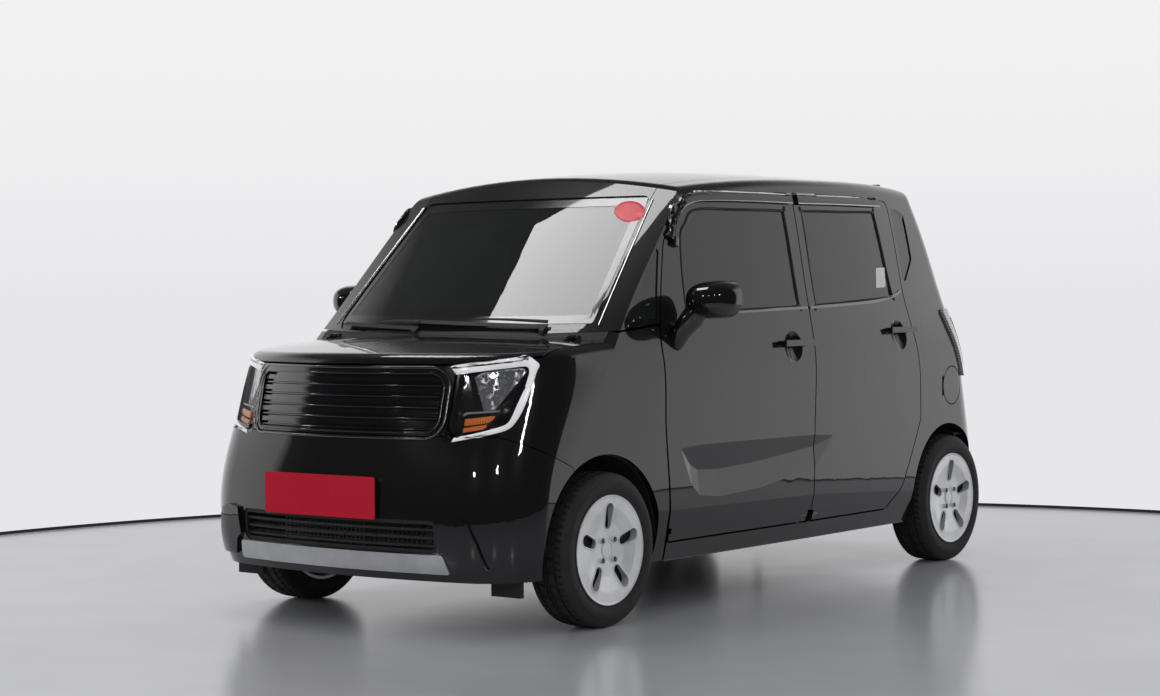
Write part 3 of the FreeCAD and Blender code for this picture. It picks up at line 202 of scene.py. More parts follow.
def ribbed_material(name, colour, pitch, axis):
    material, tree, bsdf = shader(name)
    put(bsdf, Coat_Weight=1.0, Coat_Roughness=0.03)
    coords = add(tree, "ShaderNodeTexCoord")
    ribs = add(tree, "ShaderNodeTexWave", wave_type="BANDS", bands_direction=axis, wave_profile="SIN")
    ribs.inputs["Scale"].default_value = 0.314 / pitch
    tree.links.new(coords.outputs["Object"], ribs.inputs["Vector"])
    stops = [(0.2, scaled(colour, 0.6)), (0.8, colour)]
    look(tree, bsdf, ribs.outputs["Fac"], stops, noise(tree, 40.0), 0.14, 0.24)
    bump(tree, bsdf, ribs.outputs["Fac"], 0.5, 0.002)
    return material


MATS = {
    "paint": paint_material("black_paint", (0.0035, 0.0035, 0.004), flake=0.006),
    "gloss": plastic_material("gloss_black", (0.004, 0.004, 0.0045), 0.12, strength=0.0, coat=1.0),
    "plastic": plastic_material("black_plastic", (0.016, 0.016, 0.017), 0.55),
    "silver": metal_material("silver_paint", (0.60, 0.61, 0.63), 0.32, metallic=0.75, coat=0.6),
    "dark_glass": glass_material("dark_glass", (0.012, 0.013, 0.013), 0.86),
    "screen_glass": glass_material("screen_glass", (0.012, 0.013, 0.013), 0.72, coat=0.8),
    "lens": glass_material("clear_lens", (0.05, 0.052, 0.055), 0.07),
    "red_lens": plastic_material("lamp_red", (0.35, 0.012, 0.012), 0.12, strength=0.0, coat=1.0),
    "plate": paint_material("plate_red", (0.60, 0.014, 0.035), flake=0.0),
    "under": metal_material("body_steel", (0.03, 0.03, 0.032), 0.6, metallic=0.2),
    "core": metal_material("radiator_core", (0.12, 0.12, 0.125), 0.55),
    "engine": metal_material("engine_alloy", (0.35, 0.35, 0.36), 0.5),
    "chassis": metal_material("chassis_steel", (0.035, 0.035, 0.037), 0.55, metallic=0.4),
    "exhaust": metal_material("exhaust_steel", (0.35, 0.33, 0.30), 0.4),
    "tank": plastic_material("tank_plastic", (0.03, 0.03, 0.03), 0.6),
    "cloth": plastic_material("seat_cloth", (0.035, 0.035, 0.037), 0.9, 1400.0, 0.0008, 0.6),
    "dash": plastic_material("dash_plastic", (0.022, 0.022, 0.024), 0.6),
    "leather": plastic_material("wheel_leather", (0.02, 0.02, 0.02), 0.45, grain=500.0),
    "tyre": plastic_material("tyre_rubber", (0.016, 0.016, 0.016), 0.62, grain=350.0),
    "rim": metal_material("wheel_silver", (0.74, 0.75, 0.77), 0.32, metallic=0.45, coat=0.7),
    "lamp_bar": metal_material("lamp_bar_white", (0.88, 0.89, 0.91), 0.24, metallic=0.0, coat=1.0),
    "reflector": reflector_material(),
    "lamp_trim": metal_material("lamp_trim", (0.36, 0.37, 0.38), 0.30, metallic=0.6),
    "amber": ribbed_material("lamp_amber", (0.80, 0.20, 0.03), 0.008, "X"),
    "dark_chrome": metal_material("dark_chrome", (0.17, 0.175, 0.18), 0.16, coat=0.5),
    "smoke": glass_material("smoked_visor", (0.016, 0.017, 0.018), 0.93, rough=0.06),
    "bright": metal_material("bright_line", (0.72, 0.73, 0.75), 0.18, coat=0.5),
    "rubber": plastic_material("seal_rubber", (0.011, 0.011, 0.011), 0.62, grain=700.0),
    "label_red": plastic_material("label_red", (0.62, 0.02, 0.04), 0.35, grain=300.0, strength=0.1),
    "label_pale": plastic_material("label_pale", (0.62, 0.63, 0.64), 0.45, grain=300.0, strength=0.1),
    "mirror": metal_material("mirror_silver", (0.80, 0.82, 0.84), 0.06, coat=0.5),
    "tail_lens": ribbed_material("tail_lens", (0.46, 0.45, 0.46), 0.012, "Z"),
}
NODE_MATS = {
    "paint": ["front_door_left", "front_door_right", "rear_door_left", "sliding_door_right", "body_sides",
              "fuel_flap", "roof_panel", "hood", "front_fenders", "front_bumper", "rear_bumper", "tailgate"],
    "gloss": ["grille_panel", "mirror_left", "mirror_right", "headlamp_housings"],
    "plastic": ["cowl", "lower_grille", "front_liners", "wipers"],
    "silver": ["skid_bar"],
    "dark_glass": ["front_door_glass_left", "front_door_glass_right", "rear_door_glass_left",
                   "sliding_door_glass", "fixed_side_glass", "tailgate_glass"],
    "screen_glass": ["windshield"],
    "lens": ["headlamp_lenses"],
    "tail_lens": ["tail_lamps"],
    "plate": ["front_plate"],
    "under": ["floor_pan", "front_structure"],
    "core": ["radiator"],
    "engine": ["engine_block"],
    "chassis": ["knuckle_left", "knuckle_right", "front_subframe", "tie_rods", "rear_axle"],
    "exhaust": ["exhaust"],
    "tank": ["fuel_tank"],
    "cloth": ["front_seats", "rear_seats"],
    "dash": ["dashboard"],
    "leather": ["steering_wheel"],
    "tyre": ["tyre_front_left", "tyre_front_right", "tyre_rear_left", "tyre_rear_right"],
    "rim": ["rim_front_left", "rim_front_right", "rim_rear_left", "rim_rear_right"],
}
for key, names in NODE_MATS.items():
    for name in names:
        node = NODES[name]
        node.data.materials.clear()
        node.data.materials.append(MATS[key])

# Surfaces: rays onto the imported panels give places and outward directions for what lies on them
def surface_of(*names):
    places, faces = [], []
    for name in names:
        mesh = NODES[name].data
        base = len(places)
        places.extend(vertex.co.copy() for vertex in mesh.vertices)
        faces.extend([base + index for index in polygon.vertices] for polygon in mesh.polygons)
    return BVHTree.FromPolygons(places, faces)


FLANK = surface_of("front_door_left", "rear_door_left", "body_sides", "front_fenders",
                   "front_door_glass_left", "rear_door_glass_left", "fixed_side_glass", "rear_bumper",
                   "front_bumper", "fuel_flap", "roof_panel")
NOSE = surface_of("front_bumper", "grille_panel", "hood", "front_fenders", "headlamp_lenses", "skid_bar",
                  "lower_grille", "windshield", "cowl", "roof_panel", "body_sides")
LENS = surface_of("headlamp_lenses", "front_fenders", "front_bumper", "grille_panel", "hood")
SCREEN = surface_of("windshield", "roof_panel", "body_sides", "cowl")
GATE = surface_of("tailgate", "tailgate_glass", "rear_bumper", "body_sides", "tail_lamps", "roof_panel")
COVER_LEFT = surface_of("rim_front_left")
PANEL = surface_of("grille_panel", "headlamp_lenses", "front_bumper", "hood")
GLASS_FRONT = surface_of("windshield")
LAMP_FACE = surface_of("tail_lamps")

# Between neighbouring rays, and the deepest gap that the middle ray may fall into
SMOOTH = 0.012
DEEPEST_GAP = 0.03


def smooth_point(tree, origin, direction, across, along, reach=SMOOTH):
    """Place and outward normal, from a few nearby rays so that gaps and facets don't show."""
    direction = direction.normalized()
    offsets = ((0, 0), (reach, 0), (-reach, 0), (0, reach), (0, -reach))
    places = [tree.ray_cast(origin + across * a + along * b, direction)[0] for a, b in offsets]
    depths = [(place - origin).dot(direction) for place in places if place is not None]
    if not depths:
        return None
    near = min(depths)
    centre = places[0]
    if centre is None or (centre - origin).dot(direction) > near + DEEPEST_GAP:
        centre = origin + direction * near
    slopes = []
    for one, two, plain in ((places[1], places[2], across), (places[3], places[4], along)):
        slope = plain if one is None or two is None else one - two
        slopes.append(plain if slope.length > 6 * reach else slope)
    normal = slopes[0].cross(slopes[1])
    if normal.length < 1e-9:
        normal = -direction
    normal.normalize()
    if normal.dot(direction) > 0:
        normal = -normal
    return centre, normal


def on_side(y, z, tree=FLANK, reach=SMOOTH):
    return smooth_point(tree, Vector((2.0, y, z)), TO_RIGHT, TO_BACK, UPWARD, reach)


def on_nose(x, z, tree=NOSE, reach=SMOOTH):
    return smooth_point(tree, Vector((x, -3.0, z)), TO_BACK, TO_LEFT, UPWARD, reach)


def on_tail(x, z):
    return smooth_point(GATE, Vector((x, 3.0, z)), TO_FRONT, TO_LEFT, UPWARD)


def on_glass(x, z):
    return on_nose(x, z, GLASS_FRONT, 0.006)


def on_lamp(y, z):
    return on_side(y, z, LAMP_FACE, 0.004)


def seen(u, v, tree=LENS):
    """The place and normal on a surface that a pixel of the photograph shows."""
    ray = -BACK_AXIS * FOCAL + RIGHT_AXIS * (u - PHOTO_WIDE / 2) - UP_AXIS * (v - PHOTO_HIGH / 2)
    across = Vector((0.79, 0.61, 0.0))
    return smooth_point(tree, CAMERA_PLACE.copy(), ray, across, UPWARD, 0.006)


# Mesh helpers
def mesh_object(name, bm, material=None):
    mesh = bpy.data.meshes.new(name)
    bm.to_mesh(mesh)
    bm.free()
    if material:
        mesh.materials.append(material)
    return placed(name, mesh)


def piece(name, bm, material, body, smooth=60.0):
    bmesh.ops.recalc_face_normals(bm, faces=bm.faces)
    for face in bm.faces:
        face.smooth = True
    for edge in bm.edges:
        if len(edge.link_faces) == 2 and edge.calc_face_angle(0.0) > math.radians(smooth):
            edge.smooth = False
    made = mesh_object(name, bm, material)
    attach(made, body)
    return made


def mirror_into(bm):
    copied = bmesh.ops.duplicate(bm, geom=list(bm.verts) + list(bm.edges) + list(bm.faces))["geom"]
    for item in copied:
        if isinstance(item, bmesh.types.BMVert):
            item.co.x = -item.co.x
    bmesh.ops.reverse_faces(bm, faces=[item for item in copied if isinstance(item, bmesh.types.BMFace)])


def flipped(bm, side):
    """Turns a left piece into the right one where side is -1."""
    if side < 0:
        for vertex in bm.verts:
            vertex.co.x = -vertex.co.x
        bmesh.ops.reverse_faces(bm, faces=list(bm.faces))


def between(first, second, share):
    return tuple(a + (b - a) * share for a, b in zip(first, second))


def dense(points, parts):
    out = []
    for first, second in zip(points[:-1], points[1:]):
        out.extend(between(first, second, step / parts) for step in range(parts))
    out.append(tuple(points[-1]))
    return out


def even(half, parts):
    """Places from -half to half."""
    return [(-1 + 2 * i / parts) * half for i in range(parts + 1)]


def curve(points, parts=8, closed=False):
    """A smooth line through the points (Catmull-Rom)."""
    count = len(points)
    out = []
    for i in range(count if closed else count - 1):
        p0 = points[(i - 1) % count] if closed or i > 0 else points[0]
        p1 = points[i]
        p2 = points[(i + 1) % count]
        p3 = points[(i + 2) % count] if closed or i + 2 < count else points[-1]
        for step in range(parts):
            t = step / parts
            out.append(tuple(0.5 * (2 * b + (c - a) * t + (2 * a - 5 * b + 4 * c - d) * t * t
                                    + (3 * b - a - 3 * c + d) * t ** 3)
                             for a, b, c, d in zip(p0, p1, p2, p3)))
    if not closed:
        out.append(tuple(points[-1]))
    return out


def ribbon(bm, edge_a, edge_b, project, lift, thick, crown=0.0, across=6, edge_round=0.0):
    """A slab on a surface between two lines of as many points; lift and crown are along its normals."""
    top, bottom = [], []
    for a, b in zip(edge_a, edge_b):
        row_top, row_bottom = [], []
        for step in range(across + 1):
            share = step / across
            place, normal = project(*between(a, b, share))
            side = min(share, 1 - share) * 2
            rise = lift + crown * math.sin(math.pi * share) - edge_round * (1 - min(1.0, side * across / 2))
            row_top.append(bm.verts.new(place + normal * rise))
            row_bottom.append(bm.verts.new(place + normal * (lift - thick)))
        top.append(row_top)
        bottom.append(row_bottom)
    for i in range(len(top) - 1):
        for j in range(across):
            bm.faces.new((top[i][j], top[i + 1][j], top[i + 1][j + 1], top[i][j + 1]))
            bm.faces.new((bottom[i][j], bottom[i][j + 1], bottom[i + 1][j + 1], bottom[i + 1][j]))
        bm.faces.new((top[i][0], bottom[i][0], bottom[i + 1][0], top[i + 1][0]))
        bm.faces.new((top[i][across], top[i + 1][across], bottom[i + 1][across], bottom[i][across]))
    for row_top, row_bottom in ((top[0], bottom[0]), (top[-1], bottom[-1])):
        for j in range(across):
            bm.faces.new((row_top[j], row_top[j + 1], row_bottom[j + 1], row_bottom[j]))


def ribbons(bm, lines, project, settings):
    """One ribbon for each pair of lines; a third entry holds settings of its own."""
    for low, high, *own in lines:
        ribbon(bm, low, high, project, **{**settings, **(own[0] if own else {})})


def strip(name, material, body, lines, project, smooth=50.0, **settings):
    bm = bmesh.new()
    ribbons(bm, lines, project, settings)
    piece(name, bm, material, body, smooth)


def side_strip(name, material, bodies, lines, project=on_side, smooth=50.0, **settings):
    """Ribbons on the left side, and the same ones mirrored on the right."""
    for (side, tag), body in zip(SIDES, bodies):
        bm = bmesh.new()
        ribbons(bm, lines, project, settings)
        flipped(bm, side)
        piece(name + "_" + tag, bm, material, body, smooth)


def skin(bm, rings, closed):
    """Faces between neighbouring rings; a closed skin also joins the last one to the first."""
    count, around = len(rings), len(rings[0])
    for i in range(count if closed else count - 1):
        one, two = rings[i], rings[(i + 1) % count]
        for k in range(around):
            bm.faces.new((one[k], one[(k + 1) % around], two[(k + 1) % around], two[k]))


def tube(bm, centres, radius, thin, around=8, flat=1.0, closed=False, scales=None):
    """A round or flattened bar along 3-D points; thin is the direction that flat acts in."""
    rings = []
    count = len(centres)
    for i, centre in enumerate(centres):
        ahead = centres[(i + 1) % count] if closed or i + 1 < count else centre
        behind = centres[(i - 1) % count] if closed or i > 0 else centre
        along = (ahead - behind).normalized()
        side = along.cross(thin)
        if side.length < 1e-6:
            side = along.cross(TO_LEFT)
        side.normalize()
        up = side.cross(along)
        scale = scales[i] if scales else 1.0
        ring = []
        for k in range(around):
            turn = 2 * math.pi * k / around
            out = side * math.cos(turn) + up * math.sin(turn) * flat
            ring.append(bm.verts.new(centre + out * radius * scale))
        rings.append(ring)
    skin(bm, rings, closed)
    if not closed:
        bm.faces.new(rings[0])
        bm.faces.new(list(reversed(rings[-1])))


def on_wheel(centre, out, radius, angle):
    return Vector((centre.x + out, centre.y + radius * math.cos(angle), centre.z + radius * math.sin(angle)))


def revolve(bm, profile, centre, side, parts=48):
    """A ring about the wheel's axle from (out, radius) points."""
    skin(bm, [[bm.verts.new(on_wheel(centre, side * out, radius, 2 * math.pi * k / parts))
               for out, radius in profile] for k in range(parts)], closed=True)


def round_edges(bm, edges, offset, segments):
    bmesh.ops.bevel(bm, geom=edges, offset=offset, offset_type="OFFSET", segments=segments, profile=0.5,
                    affect="EDGES", clamp_overlap=True, material=-1)


def block(bm, low, high, bevel=0.0, segments=2):
    made = bmesh.ops.create_cube(bm, size=1.0)["verts"]
    size = Vector(high) - Vector(low)
    middle = (Vector(high) + Vector(low)) / 2
    for vertex in made:
        vertex.co = vertex.co * size + middle
    if bevel:
        edges = dict.fromkeys(edge for vertex in made for edge in vertex.link_edges)
        round_edges(bm, list(edges), bevel, segments)


# Headlamps: light bars, reflector, indicator rows; traced where the photograph shows them on the left lamp
LAMP_CROP_U = 440
LAMP_CROP_V = 345
LAMP_CROP_SCALE = 13.07
BOTH_BODY = ("body", "body")


def lamp_px(*points):
    """Pixels of the photograph from points read in an enlarged view of the lamp."""
    return [(LAMP_CROP_U + x / LAMP_CROP_SCALE, LAMP_CROP_V + y / LAMP_CROP_SCALE) for x, y in points]


def lamp_line(parts, *points):
    return dense(lamp_px(*points), parts)


def lamp_piece(name, material, lines, **settings):
    side_strip(name, MATS[material], BOTH_BODY, lines, seen, 45.0, **settings)


BAR_OUT = curve(lamp_px((150, 300), (185, 268), (600, 212), (1000, 160), (1150, 142), (1240, 200),
                        (1300, 262), (1265, 350), (1185, 600), (1085, 850), (990, 1010), (890, 1105),
                        (700, 1165), (450, 1215), (150, 1272)), 5)
BAR_IN = curve(lamp_px((225, 395), (262, 382), (620, 335), (1000, 290), (1110, 280), (1150, 292), (1165, 320),
                       (1160, 390), (1095, 590), (1000, 800), (930, 955), (860, 1040), (690, 1100),
                       (430, 1165), (195, 1205)), 5)
lamp_piece("lamp_bar", "lamp_bar", [(BAR_OUT, BAR_IN)],
           lift=0.0022, thick=0.006, crown=0.002, edge_round=0.0012)
lamp_piece("lamp_bar_groove", "gloss", [
    (lamp_line(10, (150, 300), (600, 262), (1080, 205)), lamp_line(10, (160, 312), (600, 272), (1080, 212)))],
    lift=0.0050, thick=0.002, across=2)
SURROUND_IN = lamp_px((1200, 300), (1120, 410), (1000, 590), (850, 800), (745, 955), (690, 1035), (640, 1095))
SURROUND_OUT = lamp_px((1240, 285), (1222, 400), (1145, 600), (1050, 828), (962, 988), (872, 1078),
                       (700, 1134))
lamp_piece("lamp_surround", "gloss", [
    (curve(SURROUND_IN, 4), curve(SURROUND_OUT, 4)),
    (lamp_line(6, (60, 1120), (300, 1150), (640, 1095)), lamp_line(6, (40, 1262), (300, 1225), (700, 1134)))],
    lift=0.0010, thick=0.003)
lamp_piece("lamp_reflector", "reflector", [
    (lamp_line(7, (430, 410), (540, 350), (820, 305), (1110, 285), (1160, 330)),
     lamp_line(7, (555, 862), (600, 850), (760, 830), (985, 800), (1040, 640)))],
    lift=-0.022, thick=0.003, crown=-0.024, across=16)
lamp_piece("lamp_shelf", "lamp_trim", [
    (lamp_line(8, (285, 905), (335, 872), (985, 835)), lamp_line(8, (300, 925), (345, 895), (975, 855)))],
    lift=-0.010, thick=0.008, across=2)
lamp_piece("lamp_indicator", "amber", [
    (lamp_line(12, (320, 958), (620, 925), (925, 897)), lamp_line(12, (303, 1048), (610, 1010), (900, 968))),
    (lamp_line(12, (296, 1075), (600, 1030), (890, 990)),
     lamp_line(12, (276, 1162), (580, 1120), (800, 1062)))],
    lift=-0.012, thick=0.012, crown=0.003)
lamp_piece("lamp_bezel", "gloss", [
    (lamp_line(8, (90, 330), (60, 700), (30, 1200)), lamp_line(8, (420, 400), (520, 700), (560, 900)),
     {"lift": -0.026, "crown": -0.006}),
    (lamp_line(8, (40, 870), (300, 860), (980, 840)), lamp_line(8, (0, 1290), (260, 1250), (900, 1150)),
     {"lift": -0.030, "crown": -0.003})], thick=0.004, across=8)

# Grille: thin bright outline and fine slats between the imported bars
GRILLE_HALF = 0.462
GRILLE_LOW, GRILLE_HIGH = 0.694, 0.934
PANEL_LOW, PANEL_HIGH = 0.698, 0.938


def round_rect(half, low, high, radius, parts=10):
    points = []
    for cx, cz, start in ((half - radius, high - radius, 0), (-half + radius, high - radius, 90),
                          (-half + radius, low + radius, 180), (half - radius, low + radius, 270)):
        for step in range(parts + 1):
            angle = math.radians(start + 90 * step / parts)
            points.append((cx + radius * math.cos(angle), cz + radius * math.sin(angle)))
    full = []
    for first, second in zip(points, points[1:] + points[:1]):
        gap = math.hypot(second[0] - first[0], second[1] - first[1])
        steps = max(1, int(gap / 0.02))
        full.extend(between(first, second, step / steps) for step in range(steps))
    return full


def on_panel(x, z, back):
    """A place behind the smooth face of the grille panel, which runs between its upper and lower rim."""
    top = on_nose(x, PANEL_HIGH, PANEL)[0].y
    low = on_nose(x, PANEL_LOW, PANEL)[0].y
    share = (z - PANEL_LOW) / 0.24
    return Vector((x, top * share + low * (1 - share) + back, z))


for name, grow, lift, radius, key in (("grille_outline", 0.003, 0.0015, 0.0042, "dark_chrome"),
                                      ("grille_inner_edge", -0.017, 0.001, 0.0035, "gloss")):
    bm = bmesh.new()
    outline = round_rect(GRILLE_HALF + grow, GRILLE_LOW - grow, GRILLE_HIGH + grow, 0.07 + grow)
    tube(bm, [on_panel(x, z, -lift) for x, z in outline], radius, TO_FRONT, 10, 0.5, closed=True)
    piece(name, bm, MATS[key], "body")
bm = bmesh.new()
for index in range(9):
    z = 0.722 + index * 0.019
    tube(bm, [on_panel(x, z, 0.013) for x in even(0.425, 40)], 0.0042, TO_FRONT, 8, 0.8)
piece("grille_slats", bm, MATS["gloss"], "body")
bm = bmesh.new()
rows = [[bm.verts.new(on_panel(x, z, 0.030)) for z in (0.70, 0.78, 0.86, 0.925)] for x in even(0.44, 40)]
for one, two in zip(rows[:-1], rows[1:]):
    for j in range(3):
        bm.faces.new((one[j], two[j], two[j + 1], one[j + 1]))
bmesh.ops.solidify(bm, geom=bm.faces, thickness=0.003)
piece("grille_back", bm, MATS["plastic"], "body")

# Lower intake: a mesh of small cells behind its packed bars
INTAKE_WIRE = 0.0022


def intake_depth(x):
    return on_nose(x, 0.45)[0].y


bm = bmesh.new()
for index in range(9):
    z = 0.306 + index * 0.0125
    centres = [Vector((x, intake_depth(x) + 0.030 + 0.02 * abs(z - 0.35), z)) for x in even(0.452, 36)]
    tube(bm, centres, INTAKE_WIRE, TO_FRONT, 6)
for x in even(0.45, 45):
    y = intake_depth(x) + 0.031
    tube(bm, [Vector((x, y, z)) for z in (0.300, 0.352, 0.408)], INTAKE_WIRE, TO_FRONT, 6)
piece("intake_mesh", bm, MATS["plastic"], "body")

# Visors, belt lines and window seals on each side
FRONT_DOORS = ("front_door_left", "front_door_right")
REAR_DOORS = ("rear_door_left", "body")


def offset_line(points, amount):
    out = []
    for i, point in enumerate(points):
        ahead = points[min(i + 1, len(points) - 1)]
        behind = points[max(i - 1, 0)]
        dy, dz = ahead[0] - behind[0], ahead[1] - behind[1]
        span = math.hypot(dy, dz) or 1.0
        out.append((point[0] - dz / span * amount, point[1] + dy / span * amount))
    return out


def band(points, low, high):
    return offset_line(points, low), offset_line(points, high)


VISOR_FRONT = curve([(-0.647, 1.385), (-0.618, 1.450), (-0.575, 1.498), (-0.515, 1.527), (-0.40, 1.540),
                     (-0.10, 1.545), (0.185, 1.545)], 8)
VISOR_REAR = dense([(0.228, 1.545), (0.50, 1.549), (0.93, 1.552)], 16)
VISORS = (("front", VISOR_FRONT, FRONT_DOORS), ("rear", VISOR_REAR, REAR_DOORS))
for tag, line, bodies in VISORS:
    side_strip("visor_" + tag, MATS["smoke"], bodies, [(line, offset_line(line, 0.034))],
               lift=0.013, thick=0.004, crown=0.002, across=5)
for tag, line, bodies in VISORS:
    side_strip("visor_%s_line" % tag, MATS["bright"], bodies,
               [band(line, 0.0335, 0.0375), band(line, 0.0005, 0.0035)],
               lift=0.0145, thick=0.004, crown=0.001, across=2)
side_strip("visor_foot", MATS["gloss"], FRONT_DOORS,
           [(dense([(-0.664, 1.372), (-0.652, 1.402)], 4), dense([(-0.632, 1.362), (-0.622, 1.392)], 4))],
           lift=0.014, thick=0.012, crown=0.002, across=5)
BELT_FRONT = dense([(-0.625, 1.096), (-0.30, 1.110), (0.145, 1.121), (0.198, 1.122)], 12)
BELT_REAR = curve([(0.212, 1.1225), (0.45, 1.130), (0.70, 1.140), (0.86, 1.153), (0.96, 1.170),
                   (1.02, 1.190)], 8)
for tag, line, bodies in (("front", BELT_FRONT, FRONT_DOORS), ("rear", BELT_REAR, REAR_DOORS)):
    side_strip("belt_" + tag, MATS["dark_chrome"], bodies, [(line, offset_line(line, 0.011))],
               lift=0.003, thick=0.005, crown=0.001, across=5)
SEAL_FRONT = [(-0.610, 1.113), (-0.628, 1.140), (-0.600, 1.388), (-0.555, 1.455), (-0.475, 1.508),
              (-0.20, 1.514), (0.110, 1.517), (0.124, 1.500), (0.133, 1.15), (0.122, 1.133), (-0.20, 1.124)]
SEAL_REAR = [(0.264, 1.150), (0.262, 1.502), (0.276, 1.519), (0.60, 1.525), (0.868, 1.530), (0.886, 1.514),
             (0.930, 1.185), (0.918, 1.166), (0.60, 1.150), (0.276, 1.137)]
for tag, corners, bodies in (("front", SEAL_FRONT, FRONT_DOORS), ("rear", SEAL_REAR, REAR_DOORS)):
    loop = curve(corners, 6, closed=True)
    loop.append(loop[0])
    side_strip("seal_" + tag, MATS["rubber"], bodies, [band(loop, -0.006, 0.005)],
               lift=0.0012, thick=0.008, crown=0.001, across=4)

# Lower edge strips of the doors, over the open foot of their skins
FOOT_LOW, FOOT_HIGH = 0.254, 0.300
FOOT_TALL = 0.046


def on_foot(y, z):
    high, normal = on_side(y, FOOT_HIGH)
    low, _ = on_side(y, FOOT_LOW)
    share = (z - FOOT_LOW) / FOOT_TALL
    return Vector((low.x + (high.x - low.x) * share, y, z)), normal


for tag, y0, y1, bodies in (("front", -0.764, 0.2005, FRONT_DOORS), ("rear", 0.2095, 0.822, REAR_DOORS)):
    line = dense([(y0, 0.2710), (y1, 0.2710)], 40)
    side_strip("door_foot_" + tag, MATS["paint"], bodies, [(line, [(y, z + 0.0265) for y, z in line])],
               on_foot, lift=0.0003, thick=0.008, across=3)


# Windscreen: black printed border on the glass, and bright strips along the posts that paint the highlight on
# their edges
def screen_ring(inset_low, inset_side, inset_top):
    low, high = 1.066 + inset_low, 1.553 - inset_top
    wide = 0.624 - inset_side
    narrow = 0.556 - inset_side
    corners = [(-wide, low), (wide, low), (narrow, high), (-narrow, high)]
    out = []
    for first, second, parts in zip(corners, corners[1:] + corners[:1], (36, 18, 32, 18)):
        for step in range(parts):
            x, z = between(first, second, step / parts)
            bow = 0.004 * (1 - (x / wide) ** 2) if first[1] == second[1] == low else 0
            out.append((x, z - bow))
    out.append(out[0])
    return out


strip("screen_border", MATS["gloss"], "body",
      [(screen_ring(0.016, 0.002, 0.0), screen_ring(0.045, 0.030, 0.030))], on_glass, 60.0,
      lift=0.0012, thick=0.0008, across=3)
# Bright strips along both posts: a painted highlight along each post's edge by the glass
bm = bmesh.new()
for side, _ in SIDES:
    centres = []
    for step in range(25):
        x, z = between((0.640, 1.075), (0.566, 1.545), step / 24)
        place, normal = on_nose(side * (x + 0.011), z)
        centres.append(place + normal * 0.001)
    tube(bm, centres, 0.0045, SCREEN_OUT, 8, 0.5)
piece("post_highlight_strips", bm, MATS["bright"], "body")

# Camera block and mirror behind the windscreen, and the blank stickers
CAMERA_BLOCK_PX = (501.0, 224.0)
block_place, block_normal = seen(*CAMERA_BLOCK_PX, GLASS_FRONT)
bm = bmesh.new()
block(bm, (-0.055, -0.020, -0.045), (0.055, 0.045, 0.030), 0.010, 3)
for vertex in bm.verts:
    vertex.co = block_place - block_normal * 0.055 + vertex.co
piece("screen_camera", bm, MATS["plastic"], "body")
bm = bmesh.new()
block(bm, (-0.115, -0.012, -0.032), (0.115, 0.014, 0.032), 0.012, 3)
for vertex in bm.verts:
    vertex.co = vertex.co + Vector((0.0, -0.43, 1.475))
block(bm, (-0.010, -0.485, 1.485), (0.010, -0.435, 1.500), 0.003, 2)
piece("inner_mirror", bm, MATS["plastic"], "body")


def sticker(name, material, body, tree, outline_px, lift=0.0016):
    """A thin blank label where the photograph shows it: rings from its middle out to its outline."""
    bm = bmesh.new()
    cu = sum(p[0] for p in outline_px) / len(outline_px)
    cv = sum(p[1] for p in outline_px) / len(outline_px)
    rings = []
    for share, height in ((0.02, lift), (0.35, lift), (0.7, lift), (0.96, lift), (1.0, lift - 0.0008)):
        ring = []
        for u, v in outline_px:
            place, normal = seen(cu + (u - cu) * share, cv + (v - cv) * share, tree)
            ring.append(bm.verts.new(place + normal * height))
        rings.append(ring)
    bm.faces.new(rings[0])
    skin(bm, rings, closed=False)
    piece(name, bm, material, body, 80.0)


OVAL_PX = (630.0, 211.5)
OVAL_HALVES_PX = (15.5, 10.5)
PALE_PX = [(875.6, 268.2), (880.0, 267.8), (884.4, 267.5), (884.9, 277.0), (885.3, 287.2), (880.5, 287.6),
           (876.0, 288.0), (875.8, 278.0), (875.6, 268.2)]
oval = [(OVAL_PX[0] + OVAL_HALVES_PX[0] * math.cos(math.radians(turn)),
         OVAL_PX[1] + OVAL_HALVES_PX[1] * math.sin(math.radians(turn))) for turn in range(0, 360, 8)]
sticker("sticker_oval", MATS["label_red"], "body", SCREEN, oval)
sticker("sticker_pale", MATS["label_pale"], "rear_door_left", FLANK, dense(PALE_PX, 3)[:-1])

# Wheels: treaded tyres, dark backing behind the slots, raised lips and dark nuts
# TYRE_SIDE is in (out, radius) from the wheel's middle. TREAD adds a kind: 1 and 2 are cut crosswise, 0 is not
TYRE_SIDE = [(0.078, 0.1925), (0.0815, 0.1985), (0.0835, 0.2045), (0.0822, 0.2060), (0.0853, 0.2150),
             (0.0868, 0.2260), (0.0874, 0.2360), (0.0866, 0.2440), (0.0852, 0.2445), (0.0838, 0.2520),
             (0.0805, 0.2600), (0.0755, 0.2680), (0.0700, 0.2730)]
TREAD = [(0.0660, 0.2755, 1), (0.0560, 0.2772, 1), (0.0470, 0.2777, 1), (0.0462, 0.2715, 0),
         (0.0392, 0.2715, 0), (0.0384, 0.2779, 2), (0.0200, 0.2780, 2), (0.0110, 0.2780, 2),
         (0.0102, 0.2718, 0), (0.0034, 0.2718, 0), (0.0026, 0.2780, 2)]
PITCHES = 68
AXLE_HIGH = 0.278
AXLE_OUT = 0.702
FRONT_AXLE, REAR_AXLE = -1.1675, 1.3525
WHEELS = (("front_left", 1, FRONT_AXLE), ("front_right", -1, FRONT_AXLE), ("rear_left", 1, REAR_AXLE),
          ("rear_right", -1, REAR_AXLE))


